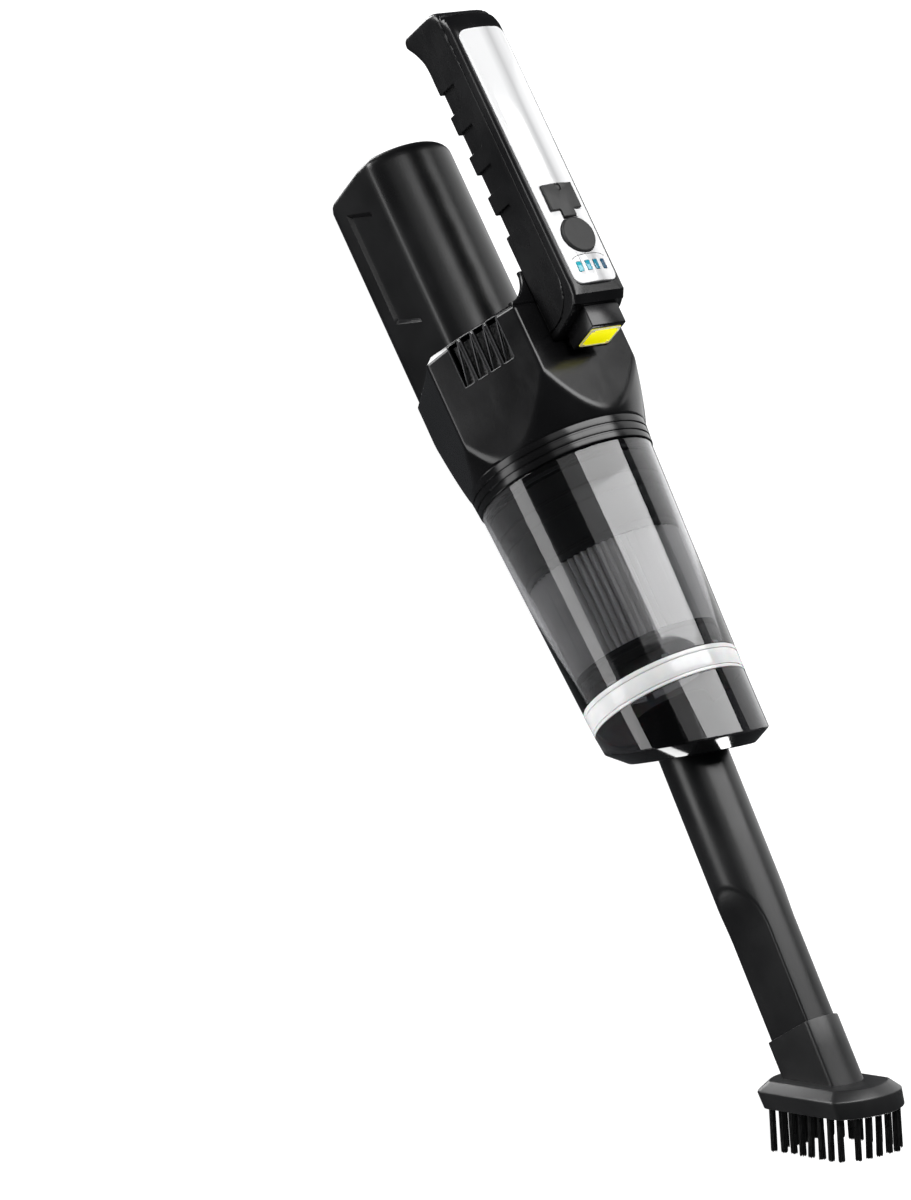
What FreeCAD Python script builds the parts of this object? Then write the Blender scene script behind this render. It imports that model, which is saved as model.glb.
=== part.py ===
import FreeCAD, Part
import math
import os
import re
import Sketcher

# Handheld vacuum, in millimetres.
#
# Every sub-part is drawn about the axis of the dust cup: X runs along that axis
# towards the brush, x = 0 is the joint between collar and cup, and Z points to
# the handle side.  ROW then moves it so that the origin lies on the flat
# underside.  The crevice tool and the brush are drawn about their own axis,
# which leaves the nose at a small downward tilt.

os.makedirs("parts", exist_ok=True)
Vector = FreeCAD.Vector
Rotation = FreeCAD.Rotation
Placement = FreeCAD.Placement

doc = FreeCAD.newDocument("handheld_vacuum")
sheet = doc.addObject("Spreadsheet::Sheet", "Sizes")

sizes = {
    # where the row's origin is, seen from the middle of the collar joint
    "row_ahead": 40, "row_above": 40,
    # common fits
    "skin": 2.4, "gap": 0.3, "shaft_fit": 0.05, "inner_ratio": 0.94,
    # motor housing: a six-sided prism trimmed by a cone
    "housing_rear": -66.5, "housing_front": -10,
    "top_flat": 41.5, "top_half": 26, "ridge_level": -2, "ridge_half": 44,
    "low_flat": -40, "low_half": 23,
    "cone_front_radius": 40.3, "cone_rear": -75, "cone_rear_radius": 58.4, "cone_rear_lift": 6.8,
    "root_rear": -80, "root_half": 14, "root_thick": 3, "root_sweep": 14,
    "vent_rear": -65, "vent_length": 20, "vent_width": 5.4, "vent_pitch": 6.8,
    "boss_radius": 3.2, "screw_radius": 1.4, "screw_head": 2.7, "screw_length": 18,
    # battery case behind the housing
    "case_rear": -163, "case_front": -60, "case_half": 23.5, "case_shoulder": -5.7,
    "case_crown_radius": 27, "case_slant": 4, "case_edge": 5,
    "recess_depth": 0.8,
    # handle
    "handle_half": 14, "handle_rear": -199, "handle_top": 65.5, "handle_parting": 60.2,
    "handle_front": -52, "handle_toe": -45, "hook_low": 33.5,
    "plan_round": 10, "rib_first": -164,
    "rib_pitch": 19.4, "rib_length": 10.7, "rib_depth": 1.5, "rib_high": 10,
    "cover_edge": 2, "hook_round": 32, "parting_turn": -70, "parting_round": 17, "handle_wall": 2.2,
    # white panel with its rubber button, port flap and charge lights
    "panel_rear": -181.3, "panel_front": -58.6, "panel_rear_half": 12.6, "panel_front_half": 11.6,
    "panel_low": 63.2, "panel_crown": 67.5, "panel_crown_radius": 42, "panel_corner": 4,
    "button_place": -80.5, "button_radius": 8.2, "button_top": 68.3,
    "flap_rear": -104.7, "flap_front": -92.8, "flap_half": 8.2, "flap_floor": 66.1,
    "flap_top": 68, "socket_rear": -103, "socket_front": -94.4, "socket_middle": -98.7,
    "socket_half": 4.6, "socket_bore_radius": 2.8, "flap_neck_half": 3.6,
    "flap_neck_front": -89.8, "flap_bead_radius": 0.8,
    "light_rear": -68.4, "light_length": 4.4, "light_width": 2.2, "light_pitch": 4.4,
    # work light
    "lamp_rear": -52, "lamp_front": -41, "lamp_half": 9.5, "lamp_top": 61.8, "lamp_low": 45.6,
    "lamp_rake": 2.4, "lens_wide": 16.4, "lens_thick": 1.6,
    # collar between housing and cup
    "collar_rear_radius": 40.05, "collar_front_radius": 39.2, "collar_bore": 35.2, "seal_place": 2.4,
    "spigot_depth": 5, "groove_depth": 0.5, "groove_width": 0.8,
    # motor and fan
    "motor_rear": -56, "motor_front": -25, "motor_radius": 18, "motor_wall": 1.6, "mount_radius": 36.9,
    "shaft_radius": 1.6, "bearing_radius": 5, "bearing_width": 4,
    "magnet_radius": 16.2, "magnet_bore": 13.2, "rotor_radius": 12.4,
    "fan_rear": -21.5, "fan_front": -13, "fan_radius": 29, "fan_hub": 7, "fan_blades": 9,
    "shroud_radius": 33, "shroud_front": -10.6, "shroud_eye": 12,
    # battery
    "cell_radius": 9.2, "cell_length": 65, "cell_rear": -150, "cell_low": -27.4,
    "cell_high": -10.6, "cell_spread": 9.75, "holder_width": 6,
    # board in the handle
    "board_level": 56.5, "board_thick": 1.6, "board_rear": -122, "board_front": -60,
    "board_half": 9.6,
    # filter
    "holder_front": 39, "pleat_front": 82, "filter_front": 89.6,
    "holder_rear_radius": 36, "holder_front_radius": 34, "pleat_front_radius": 32.2,
    "filter_end_radius": 31.8, "filter_bore": 24, "pleat_count": 64, "pleat_depth": 3.2,
    # dust cup
    "cup_gap": 0.3, "cup_radius": 38.7, "cup_taper": -0.0452, "cup_wall": 1.8,
    "ring_rear": 94.8, "ring_front": 105.6, "ring_proud": 0.15,
    "rim_place": 122.3, "rim_slant": 21.1, "nose_radius": 25.4, "nose_depth": 5.8,
    # inlet socket, flap valve and tool
    "tool_place": 129.8, "tool_tilt": 4.2, "scoop_round": 40.5, "tool_radius": 14.3, "tool_wall": 1.8,
    "tool_tail": -20, "tool_end": 134, "tool_flat": 7.8, "scoop_start": 57, "scoop_end": 79,
    "socket_wall": 1.8, "valve_radius": 11.4, "valve_thick": 1.2, "valve_pin_radius": 0.7,
    # brush
    "sleeve_start": 120.8, "sleeve_wall": 1.1, "plate_tilt": 26.8, "plate_ahead": 148,
    "plate_drop": 1.2, "plate_half": 20, "plate_straight": 21.6, "plate_bulge": 8,
    "plate_bevel": 4, "skirt_depth": 6.9, "skirt_shift": 2.4,
    "tuft_radius": 1.3, "tuft_length": 18.3, "tuft_pitch": 5.5, "tuft_count": 8,
}

for row, (alias, number) in enumerate(sizes.items(), start=1):
    sheet.set(f"A{row}", alias)
    sheet.set(f"B{row}", str(number))
    sheet.setAlias(f"B{row}", alias)
doc.recompute()

ROW = Placement(Vector(sheet.row_ahead, 0, sheet.row_above), Rotation())
TOOL = ROW * Placement(Vector(sheet.tool_place, 0, 0), Rotation(Vector(0, 1, 0), sheet.tool_tilt))
SIDES = (-1, 1)
ALONG = {
    "X": Rotation(Vector(0, 1, 0), 90),
    "Y": Rotation(Vector(1, 0, 0), -90),
    "Z": Rotation(),
}
subparts = []


# ---------------------------------------------------------------- helpers

def bound(text):
    """The sheet's form of a sum such as 'cup_radius - cup_wall'."""
    return re.sub(r"[a-z][a-z_]+", lambda word: "Sizes." + word.group(), text)


def amount(text):
    """The value of such a sum of products."""
    total = 0.0
    for term in text.replace(" - ", " + -1 * ").split(" + "):
        factors = [sizes[word] if word in sizes else float(word) for word in term.split(" * ")]
        total += math.prod(factors)
    return total


def bind(item, **texts):
    for name, text in texts.items():
        item.setExpression(name, bound(text))
    return item


def put(item, at, turn=None):
    """Place an item: 'at' holds three sums, and 'turn' is a rotation."""
    item.Placement = Placement(Vector(*[amount(text) for text in at]), turn or Rotation())
    for axis, text in zip("xyz", at):
        item.setExpression("Placement.Base." + axis, bound(text))
    return item


def box(name, length, width, height, at, turn=None):
    item = doc.addObject("Part::Box", name)
    bind(item, Length=length, Width=width, Height=height)
    return put(item, at, turn)


def rod(name, radius, height, at, along="X"):
    item = doc.addObject("Part::Cylinder", name)
    bind(item, Radius=radius, Height=height)
    return put(item, at, ALONG[along])


def fuse(name, items):
    item = doc.addObject("Part::MultiFuse", name)
    item.Shapes = items
    return item


def common(name, items):
    item = doc.addObject("Part::MultiCommon", name)
    item.Shapes = items
    return item


def cut(name, base, tools):
    item = doc.addObject("Part::Cut", name)
    item.Base = base
    item.Tool = tools[0] if len(tools) == 1 else fuse(name + "_tools", tools)
    return item


def mirrored(name, source):
    item = doc.addObject("Part::Mirroring", name)
    item.Source = source
    item.Normal = Vector(0, 1, 0)
    return item


def plane_of(body, role):
    return next(item for item in body.Origin.OriginFeatures if item.Role == role)


def sketch_on(body, role, start):
    sketch = body.newObject("Sketcher::SketchObject", body.Name + "_sketch")
    sketch.AttachmentSupport = [(plane_of(body, role), "")]
    sketch.MapMode = "FlatFace"
    sketch.setExpression("AttachmentOffset.Base.z", bound(start))
    return sketch


def fix_corner(sketch, edge, corner, direction, text):
    """Hold a corner at a distance from the sketch's origin, or on its axis."""
    if text == "0":
        axis = -2 if direction == "DistanceX" else -1
        sketch.addConstraint(Sketcher.Constraint("PointOnObject", edge, corner, axis))
        return
    rule = Sketcher.Constraint(direction, -1, 1, edge, corner, amount(text))
    index = sketch.addConstraint(rule)
    if re.search("[a-z]", text):
        sketch.setExpression(f"Constraints[{index}]", bound(text))


def draw(sketch, points):
    """A closed outline: a third value on a point makes the edge to it an arc.

    The third value is the arc's radius, and it starts with '-' where the arc
    turns clockwise.
    """
    edges = []
    for index, point in enumerate(points):
        start = Vector(*[amount(text) for text in points[index - 1][:2]])
        end = Vector(*[amount(text) for text in point[:2]])
        if len(point) == 2:
            edges.append((sketch.addGeometry(Part.LineSegment(start, end)), 1, 2))
            continue
        clockwise = point[2].startswith("-")
        radius = point[2].lstrip("-")
        half = (end - start) / 2
        rise = math.sqrt(amount(radius) ** 2 - half.Length ** 2)
        side = Vector(-half.y, half.x, 0).normalize() * (-rise if clockwise else rise)
        centre = start + half + side
        first, last = (end, start) if clockwise else (start, end)
        angles = [math.atan2(spot.y - centre.y, spot.x - centre.x) for spot in (first, last)]
        circle = Part.Circle(centre, Vector(0, 0, 1), amount(radius))
        edge = sketch.addGeometry(Part.ArcOfCircle(circle, *angles))
        edges.append((edge, 2, 1) if clockwise else (edge, 1, 2))
        rule = sketch.addConstraint(Sketcher.Constraint("Radius", edge, amount(radius)))
        if re.search("[a-z]", radius):
            sketch.setExpression(f"Constraints[{rule}]", bound(radius))
    for index, (edge, start, end) in enumerate(edges):
        following, its_start, its_end = edges[(index + 1) % len(edges)]
        sketch.addConstraint(Sketcher.Constraint("Coincident", edge, end, following, its_start))
        fix_corner(sketch, edge, end, "DistanceX", points[index][0])
        fix_corner(sketch, edge, end, "DistanceY", points[index][1])


def prism(name, role, points, start, length, symmetric=False):
    """A padded outline.  The sketch lies 'start' along its plane's normal."""
    body = doc.addObject("PartDesign::Body", name)
    sketch = sketch_on(body, role, start)
    draw(sketch, points)
    pad = body.newObject("PartDesign::Pad", name + "_pad")
    pad.Profile = sketch
    if symmetric:
        pad.SideType = "Symmetric"
    bind(pad, Length=length)
    body.Tip = pad
    return body


def slab(name, low, high):
    """A rectangular block between two corners, each three sums."""
    points = [(low[0], low[1]), (high[0], low[1]), (high[0], high[1]), (low[0], high[1])]
    return prism(name, "XY_Plane", points, low[2], f"({high[2]}) - ({low[2]})")


def turned(name, points):
    """An outline of (x, radius) turned about the X axis."""
    body = doc.addObject("PartDesign::Body", name)
    sketch = sketch_on(body, "XY_Plane", "0")
    draw(sketch, points)
    spin = body.newObject("PartDesign::Revolution", name + "_turn")
    spin.Profile = sketch
    spin.ReferenceAxis = (sketch, ["H_Axis"])
    spin.Angle = 360
    body.Tip = spin
    return body


def loft_body(name, circles):
    """A cone through circles of (x, lift, radius) in planes across X."""
    body = doc.addObject("PartDesign::Body", name)
    sections = []
    for place, lift, radius in circles:
        sketch = sketch_on(body, "YZ_Plane", place)
        round_edge = Part.Circle(Vector(0, amount(lift), 0), Vector(0, 0, 1), amount(radius))
        sketch.addGeometry(round_edge)
        index = sketch.addConstraint(Sketcher.Constraint("Radius", 0, amount(radius)))
        sketch.setExpression(f"Constraints[{index}]", bound(radius))
        fix_corner(sketch, 0, 3, "DistanceX", "0")
        fix_corner(sketch, 0, 3, "DistanceY", lift)
        sections.append(sketch)
    loft = body.newObject("PartDesign::AdditiveLoft", name + "_loft")
    loft.Profile = sections[0]
    loft.Sections = sections[1:]
    loft.Ruled = True
    body.Tip = loft
    return body


def rounded(name, base, picks):
    """Fillet the edges that each (test, size) pair picks."""
    doc.recompute()
    item = doc.addObject("Part::Fillet", name)
    item.Base = base
    chosen = []
    for number, edge in enumerate(base.Shape.Edges, start=1):
        for test, size in picks:
            if test(edge):
                chosen.append((number, amount(size), amount(size)))
                break
    item.Edges = chosen
    return item


def runs_along(edge, direction):
    if edge.Curve.TypeId != "Part::GeomLine":
        return False
    return abs(edge.Curve.Direction.dot(direction)) > 0.999


def solid(name, shape):
    """A piece whose shape has no primitive or feature of its own."""
    item = doc.addObject("Part::Feature", name)
    item.Shape = shape
    return item


def subpart(item, label, placement=ROW):
    item.Label = label
    item.Placement = placement
    subparts.append(item)
    return item


# ---------------------------------------------------------------- motor housing

def housing_form(name, ratio, less, start="housing_rear"):
    """The outer form, or the cavity inside it when 'ratio' is below one."""
    corners = [("top_half", "top_flat"), ("-1 * top_half", "top_flat"),
               ("-1 * ridge_half", "ridge_level"), ("-1 * low_half", "low_flat"),
               ("low_half", "low_flat"), ("ridge_half", "ridge_level")]
    points = [(y + " * " + ratio, z + " * " + ratio) for y, z in corners]
    faces = prism(name + "_faces", "YZ_Plane", points, start, f"housing_front - ({start})")
    cone = loft_body(name + "_cone", [
        ("housing_front", "0", "cone_front_radius" + less),
        ("cone_rear", "cone_rear_lift", "cone_rear_radius" + less)])
    return common(name, [faces, cone])


def facet_box(name, length, depth, height, ahead, up):
    """A box on the side facet: X ahead, Y outwards and Z up the facet."""
    rise = Vector(0, sheet.top_half - sheet.ridge_half, sheet.top_flat - sheet.ridge_level)
    lean = math.degrees(math.atan2(-rise.y, rise.z))
    middle = Vector(0, sheet.top_half + sheet.ridge_half, sheet.top_flat + sheet.ridge_level) / 2
    outwards = Vector(0, rise.z, -rise.y).normalize()
    item = doc.addObject("Part::Box", name)
    bind(item, Length=length, Width=depth, Height=height)
    corner = middle + rise.normalize() * up - outwards * amount(depth) / 2
    item.Placement = Placement(corner + Vector(ahead, 0, 0), Rotation(Vector(1, 0, 0), lean))
    return item


outer = housing_form("housing_outer", "1", "")
inner = housing_form("housing_inner", "inner_ratio", " - skin", "housing_rear + skin")
root = prism("handle_root", "XY_Plane", [
    ("housing_rear", "-1 * top_half", "-root_sweep"), ("housing_rear", "top_half"),
    ("root_rear", "root_half", "-root_sweep"), ("root_rear", "-1 * root_half")],
    "top_flat - root_thick", "root_thick")

case_hole = prism("case_hole", "YZ_Plane", [
    ("-1 * case_half - 0.1", "low_flat - 1"), ("case_half + 0.1", "low_flat - 1"),
    ("case_half + 0.1", "case_shoulder"),
    ("-1 * case_half - 0.1", "case_shoulder", "case_crown_radius + 0.1")],
    "housing_rear - 1", "case_front - housing_rear + 1.2")

slots, louvres = [], []
for number in range(4):
    level = (number - 1.5) * sheet.vent_pitch - sheet.vent_width / 2 + 1.2
    slots.append(facet_box(f"slot_{number}", "vent_length", "skin * 3", "vent_width",
                           sheet.vent_rear, level))
    louvre = facet_box(f"louvre_{number}", "vent_length + 1", "skin * 0.5", "1",
                       sheet.vent_rear, level)
    swing = math.degrees(math.atan2(sheet.vent_width - 1, sheet.vent_length))
    inward = louvre.Placement.Rotation.multVec(Vector(0, -0.7 * sheet.skin, 0))
    louvre.Placement = Placement(
        louvre.Placement.Base + inward,
        louvre.Placement.Rotation * Rotation(Vector(0, 1, 0), -swing))
    louvres.append(louvre)
vents = fuse("vent_slots", slots)
bars = fuse("vent_bars", louvres)

boss_spots = [(-38, 31), (-38, -31.5), (-54.5, -31.5)]
bosses = common("bosses", [
    fuse("boss_rods", [
        rod(f"boss_{index}", "boss_radius", "ridge_half * 2", (str(x), "-1 * ridge_half", str(z)), "Y")
        for index, (x, z) in enumerate(boss_spots)]),
    housing_form("boss_trim", "1", "")])
bores = [rod(f"boss_bore_{index}", "screw_radius", "screw_length", (str(x), "-6", str(z)), "Y")
         for index, (x, z) in enumerate(boss_spots)]
head_wells = [rod(f"head_well_{index}", "screw_head + 0.1", "30", (str(x), "12", str(z)), "Y")
              for index, (x, z) in enumerate(boss_spots)]

shell = cut("housing_shell", fuse("housing_block", [outer, root]), [
    inner, case_hole, vents, mirrored("vents_far", vents)])
housing = cut("housing_whole", fuse("housing_filled", [
    shell, bars, mirrored("bars_far", bars), bosses]), bores + head_wells)

for side, label in zip(SIDES, ("housing_left", "housing_right")):
    half = box(label + "_half", "100", "60", "120", ("-100", "0" if side > 0 else "-60", "-60"))
    subpart(common(label, [housing, half]), label)

screws = []
for index, (x, z) in enumerate(boss_spots):
    screws.append(rod(f"screw_shank_{index}", "screw_radius", "screw_length", (str(x), "-6", str(z)), "Y"))
    screws.append(rod(f"screw_head_{index}", "screw_head", "2", (str(x), "12", str(z)), "Y"))
subpart(fuse("housing_screw_set", screws), "housing_screws")


# ---------------------------------------------------------------- battery case

def case_form(name, less, start, length):
    """The case's section: flat base and sides under a crowned top."""
    return prism(name, "YZ_Plane", [
        ("-1 * case_half" + less.replace("-", "+"), "low_flat" + less.replace("-", "+")),
        ("case_half" + less, "low_flat" + less.replace("-", "+")),
        ("case_half" + less, "case_shoulder"),
        ("-1 * case_half" + less.replace("-", "+"), "case_shoulder", "case_crown_radius" + less)],
        start, length)


def end_edge(place):
    return lambda edge: edge.BoundBox.XMax < place + 8 and not runs_along(edge, Vector(1, 0, 0))


case_slab = case_form("case_slab", "", "case_rear", "case_front - case_rear")
slant = prism("case_slant", "XZ_Plane", [
    ("case_rear - 1", "low_flat - 1"), ("case_rear + case_slant", "low_flat - 1"),
    ("case_rear", "-14"), ("case_rear - 1", "-14")], "0", "case_half * 2 + 2", symmetric=True)
case_block = rounded("case_block", cut("case_trimmed", case_slab, [slant]), [
    (end_edge(sheet.case_rear), "case_edge"),
    (lambda edge: runs_along(edge, Vector(1, 0, 0)) and edge.CenterOfMass.z < -39, "case_edge")])
case_bore = case_form("case_bore", " - skin", "case_rear + skin + 4", "case_front - case_rear")
recess_outline = [("-150.8", "-32.7"), ("-96.3", "-31.7"), ("-88.5", "-14.6"), ("-142.7", "-15.5")]
recesses = []
for side in SIDES:
    face = "case_half - recess_depth" if side < 0 else "-1 * case_half - 1"
    recesses.append(prism(f"case_recess_{side + 1}", "XZ_Plane", recess_outline, face, "recess_depth + 1"))
subpart(cut("case_shell", case_block, [case_bore] + recesses), "battery_case")

cell_spots = [("-1 * cell_spread", "cell_low"), ("cell_spread", "cell_low"), ("0", "cell_high")]
cells = [rod(f"cell_{index}", "cell_radius", "cell_length", ("cell_rear", y, z))
         for index, (y, z) in enumerate(cell_spots)]
subpart(fuse("cell_set", cells), "battery_cells")

for label, start in (("cell_holder_rear", "cell_rear - 2"),
                     ("cell_holder_front", "cell_rear + cell_length + 2 - holder_width")):
    plate = case_form(label + "_plate", " - skin - gap", start, "holder_width")
    seats = [rod(f"{label}_seat_{index}", "cell_radius + 0.1", "cell_length + 0.2", ("cell_rear - 0.1", y, z))
             for index, (y, z) in enumerate(cell_spots)]
    subpart(cut(label + "_cut", plate, seats), label)

subpart(slab("pack_board", ("cell_rear + 8", "-11", "0"), ("cell_rear + cell_length - 8", "11", "1.6")),
        "battery_board")


# ---------------------------------------------------------------- handle

handle_raw = prism("handle_raw", "XZ_Plane", [
    ("handle_toe", "top_flat"),
    ("handle_front", "handle_top"),
    ("handle_rear + 14", "handle_top"),
    ("handle_rear + 3", "handle_top - 8", "16"),
    ("handle_rear", "hook_low + 3"),
    ("handle_rear + 2.4", "hook_low", "2.4"),
    ("handle_rear + 8", "hook_low + 1"),
    ("handle_rear + 28", "top_flat", "-hook_round")], "0", "handle_half * 2", symmetric=True)


def on_outer_side(edge):
    """The long upper edges, and the side edges round the rear end and the hook."""
    beside = abs(abs(edge.CenterOfMass.y) - sheet.handle_half) < 0.1
    above = edge.CenterOfMass.z > sheet.handle_parting
    behind = edge.CenterOfMass.x < sheet.handle_rear + 20
    return beside and (above or behind)


handle_plan = prism("handle_plan", "XY_Plane", [
    ("handle_toe + 2", "-1 * handle_half - 1"), ("handle_toe + 2", "handle_half + 1"),
    ("handle_rear - 0.2 + plan_round", "handle_half + 1"),
    ("handle_rear - 0.2", "handle_half + 1 - plan_round", "plan_round"),
    ("handle_rear - 0.2", "-1 * handle_half - 1 + plan_round"),
    ("handle_rear - 0.2 + plan_round", "-1 * handle_half - 1", "plan_round")],
    "hook_low - 2", "handle_top - hook_low + 4")
handle_block = common("handle_block", [
    rounded("handle_soft", handle_raw, [(on_outer_side, "cover_edge")]), handle_plan])
cover_zone = prism("cover_zone", "XZ_Plane", [
    ("handle_rear - 2", "handle_parting"), ("parting_turn", "handle_parting"),
    ("handle_toe - 5", "top_flat - 1", "-parting_round"), ("handle_toe + 2", "top_flat - 1"),
    ("handle_toe + 2", "handle_top + 1"), ("handle_rear - 2", "handle_top + 1")],
    "0", "handle_half * 2 + 2", symmetric=True)
handle_core = slab("handle_core", ("handle_rear + 16", "handle_wall - handle_half", "top_flat + 4"),
                   ("-58", "handle_half - handle_wall", "panel_low - 2"))

notches = []
for index in range(4):
    start = f"rib_first + rib_pitch * {index}"
    for side in SIDES:
        inner_side = "handle_half - rib_depth" if side > 0 else "-1 * handle_half - 1"
        notches.append(box(f"notch_{index}_{side + 1}", "rib_length", "rib_depth + 1", "rib_high + 2",
                           (start, inner_side, "top_flat - 2")))
    notches.append(box(f"notch_{index}_low", "rib_length", "handle_half * 2 + 2", "rib_depth + 2",
                       (start, "-1 * handle_half - 1", "top_flat - 2")))

cover_screw_places = ("handle_rear + 22", "-130")
cover_bores, cover_screw_set, cover_posts = [], [], []
for index, place in enumerate(cover_screw_places):
    cover_posts.append(rod(f"cover_post_{index}", "3.4", "panel_low - 2 - top_flat - 4",
                           (place, "0", "top_flat + 4"), "Z"))
    cover_bores.append(rod(f"cover_bore_{index}", "screw_radius", "panel_low - 0.4 - top_flat + 1",
                           (place, "0", "top_flat - 1"), "Z"))
    cover_bores.append(rod(f"cover_well_{index}", "screw_head + 0.1", "5", (place, "0", "top_flat - 1"), "Z"))
    cover_screw_set.append(rod(f"cover_shank_{index}", "screw_radius", "panel_low - 0.4 - top_flat - 4",
                               (place, "0", "top_flat + 4"), "Z"))
    cover_screw_set.append(rod(f"cover_head_{index}", "screw_head", "2", (place, "0", "top_flat + 2"), "Z"))

grip_block = cut("grip_block", handle_block, [cover_zone, handle_core] + notches)
grip_trim = cut("grip_trim_zone", fuse("grip_posts", cover_posts), [cover_zone])
subpart(cut("grip_shell", fuse("grip_filled", [grip_block, grip_trim]), cover_bores), "handle_grip")
subpart(fuse("cover_screws_set", cover_screw_set), "cover_screws")


# ---------------------------------------------------------------- control panel

def panel_outline(more):
    less = more.replace("+", "-")
    return [("panel_rear" + less, "-1 * panel_rear_half" + less),
            ("panel_front" + more, "-1 * panel_front_half" + less),
            ("panel_front" + more, "panel_front_half" + more),
            ("panel_rear" + less, "panel_rear_half" + more)]


def upright(edge):
    return runs_along(edge, Vector(0, 0, 1))


def panel_block(name, more):
    raw = prism(name + "_raw", "XY_Plane", panel_outline(more), "panel_low", "panel_crown - panel_low")
    return rounded(name, raw, [(upright, "panel_corner")])


crown = rod("panel_crown_round", "panel_crown_radius", "140",
            ("-190", "0", "panel_crown - panel_crown_radius"))
panel = common("panel_crowned", [panel_block("panel_plate", ""), crown])
button_hole = rod("button_hole", "button_radius + gap", "10", ("button_place", "0", "panel_low - 1"), "Z")
flap_seat = slab("flap_seat", ("flap_rear - gap", "-1 * flap_half - gap", "flap_floor"),
                 ("flap_front + gap", "flap_half + gap", "flap_floor + 4"))
neck_seat = slab("neck_seat", ("flap_front", "-1 * flap_neck_half - gap", "flap_floor"),
                 ("button_place", "flap_neck_half + gap", "flap_floor + 4"))
port_hole = slab("port_hole", ("socket_rear - 0.2", "-1 * socket_half - 0.2", "panel_low - 1"),
                 ("socket_front + 0.2", "socket_half + 0.2", "flap_floor + 1"))
light_slots, lights = [], []
for index in range(4):
    low = f"-1 * light_width * 0.5 + light_pitch * {index - 1.5}"
    for group, name, more, start in ((light_slots, "light_slot", 0.1, "panel_low - 1"),
                                     (lights, "light_bar", 0, "panel_low - 2")):
        group.append(slab(f"{name}_{index}", (f"light_rear - {more}", f"{low} - {more}", start),
                          (f"light_rear + light_length + {more}",
                           f"{low} + light_width + {more}", "panel_crown + 0.1")))
subpart(cut("panel_cut", panel, [button_hole, flap_seat, neck_seat, port_hole] + light_slots),
        "control_panel")
light_crown = rod("light_crown", "panel_crown_radius + 0.1", "140",
                  ("-190", "0", "panel_crown - panel_crown_radius"))
subpart(common("charge_lights_set", [fuse("light_bars", lights), light_crown]), "charge_lights")

cover_window = slab("cover_window", ("flap_rear - 2", "-10", "panel_low - 3"),
                    ("light_rear + light_length + 2", "10", "panel_low + 1"))
cover_block = common("cover_block", [handle_block, cover_zone])
cover_open = cut("cover_open", cover_block, [panel_block("panel_seat", " + 0.1")])
cover_hollow = cut("cover_hollow", cover_open, [handle_core])
subpart(cut("cover_shell", cover_hollow, [cover_window] + cover_bores), "handle_cover")

button_cap = rod("button_cap", "button_radius", "button_top - panel_low",
                 ("button_place", "0", "panel_low"), "Z")
button_round = rounded("button_round", button_cap, [(lambda edge: edge.CenterOfMass.z > 68, "0.8")])
button_skirt = rod("button_skirt", "button_radius + 0.9", "1", ("button_place", "0", "panel_low - 1.2"), "Z")
button_stem = rod("button_stem", "2", "1.2", ("button_place", "0", "panel_low - 1.2"), "Z")
subpart(fuse("button_form", [button_round, button_skirt, button_stem]), "power_button")

flap_plate = slab("flap_plate", ("flap_rear", "-1 * flap_half", "flap_floor + 0.1"),
                  ("flap_front", "flap_half", "flap_top"))
flap_neck = slab("flap_neck", ("flap_front - 1", "-1 * flap_neck_half", "flap_floor + 0.1"),
                 ("flap_neck_front", "flap_neck_half", "flap_top"))
flap_notch = rod("flap_notch", "1.6", "4", ("flap_rear + 1.6", "0", "flap_top - 0.6"), "Z")
flap_bead = rod("flap_bead", "flap_bead_radius", "flap_neck_half * 2",
                ("flap_neck_front", "-1 * flap_neck_half", "flap_top - flap_bead_radius"), "Y")
subpart(cut("flap_form", fuse("flap_block", [flap_plate, flap_neck, flap_bead]), [flap_notch]), "port_cover")

subpart(slab("main_board", ("board_rear", "-1 * board_half", "board_level"),
             ("board_front", "board_half", "board_level + board_thick")), "control_board")
switch_body = slab("switch_body", ("button_place - 3", "-3", "board_level + board_thick"),
                   ("button_place + 3", "3", "board_level + board_thick + 2"))
switch_plunger = rod("switch_plunger", "1.6", "0.5",
                     ("button_place", "0", "board_level + board_thick + 2"), "Z")
subpart(fuse("switch_form", [switch_body, switch_plunger]), "tact_switch")
socket_block = slab("socket_block", ("socket_rear", "-1 * socket_half", "board_level + board_thick"),
                    ("socket_front", "socket_half", "flap_floor - 0.2"))
socket_bore = rod("socket_bore", "socket_bore_radius", "5.6", ("socket_middle", "0", "flap_floor - 5.7"), "Z")
socket_pin = rod("socket_pin", "0.9", "5", ("socket_middle", "0", "flap_floor - 6"), "Z")
subpart(fuse("socket_form", [cut("socket_shell", socket_block, [socket_bore]), socket_pin]), "charge_socket")


# ---------------------------------------------------------------- work light

def raked(name, shift, low, high, wide, front=""):
    """A plate behind the raked front of the lamp, moved back by 'shift'."""
    points = [("lamp_front + lamp_rake * " + low[1] + shift, low[0]),
              ("lamp_front + lamp_rake * " + high[1] + shift, high[0]),
              ("lamp_front + lamp_rake * " + high[1] + shift + front, high[0]),
              ("lamp_front + lamp_rake * " + low[1] + shift + front, low[0])]
    return prism(name, "XZ_Plane", points, "0", wide, symmetric=True)


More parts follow.
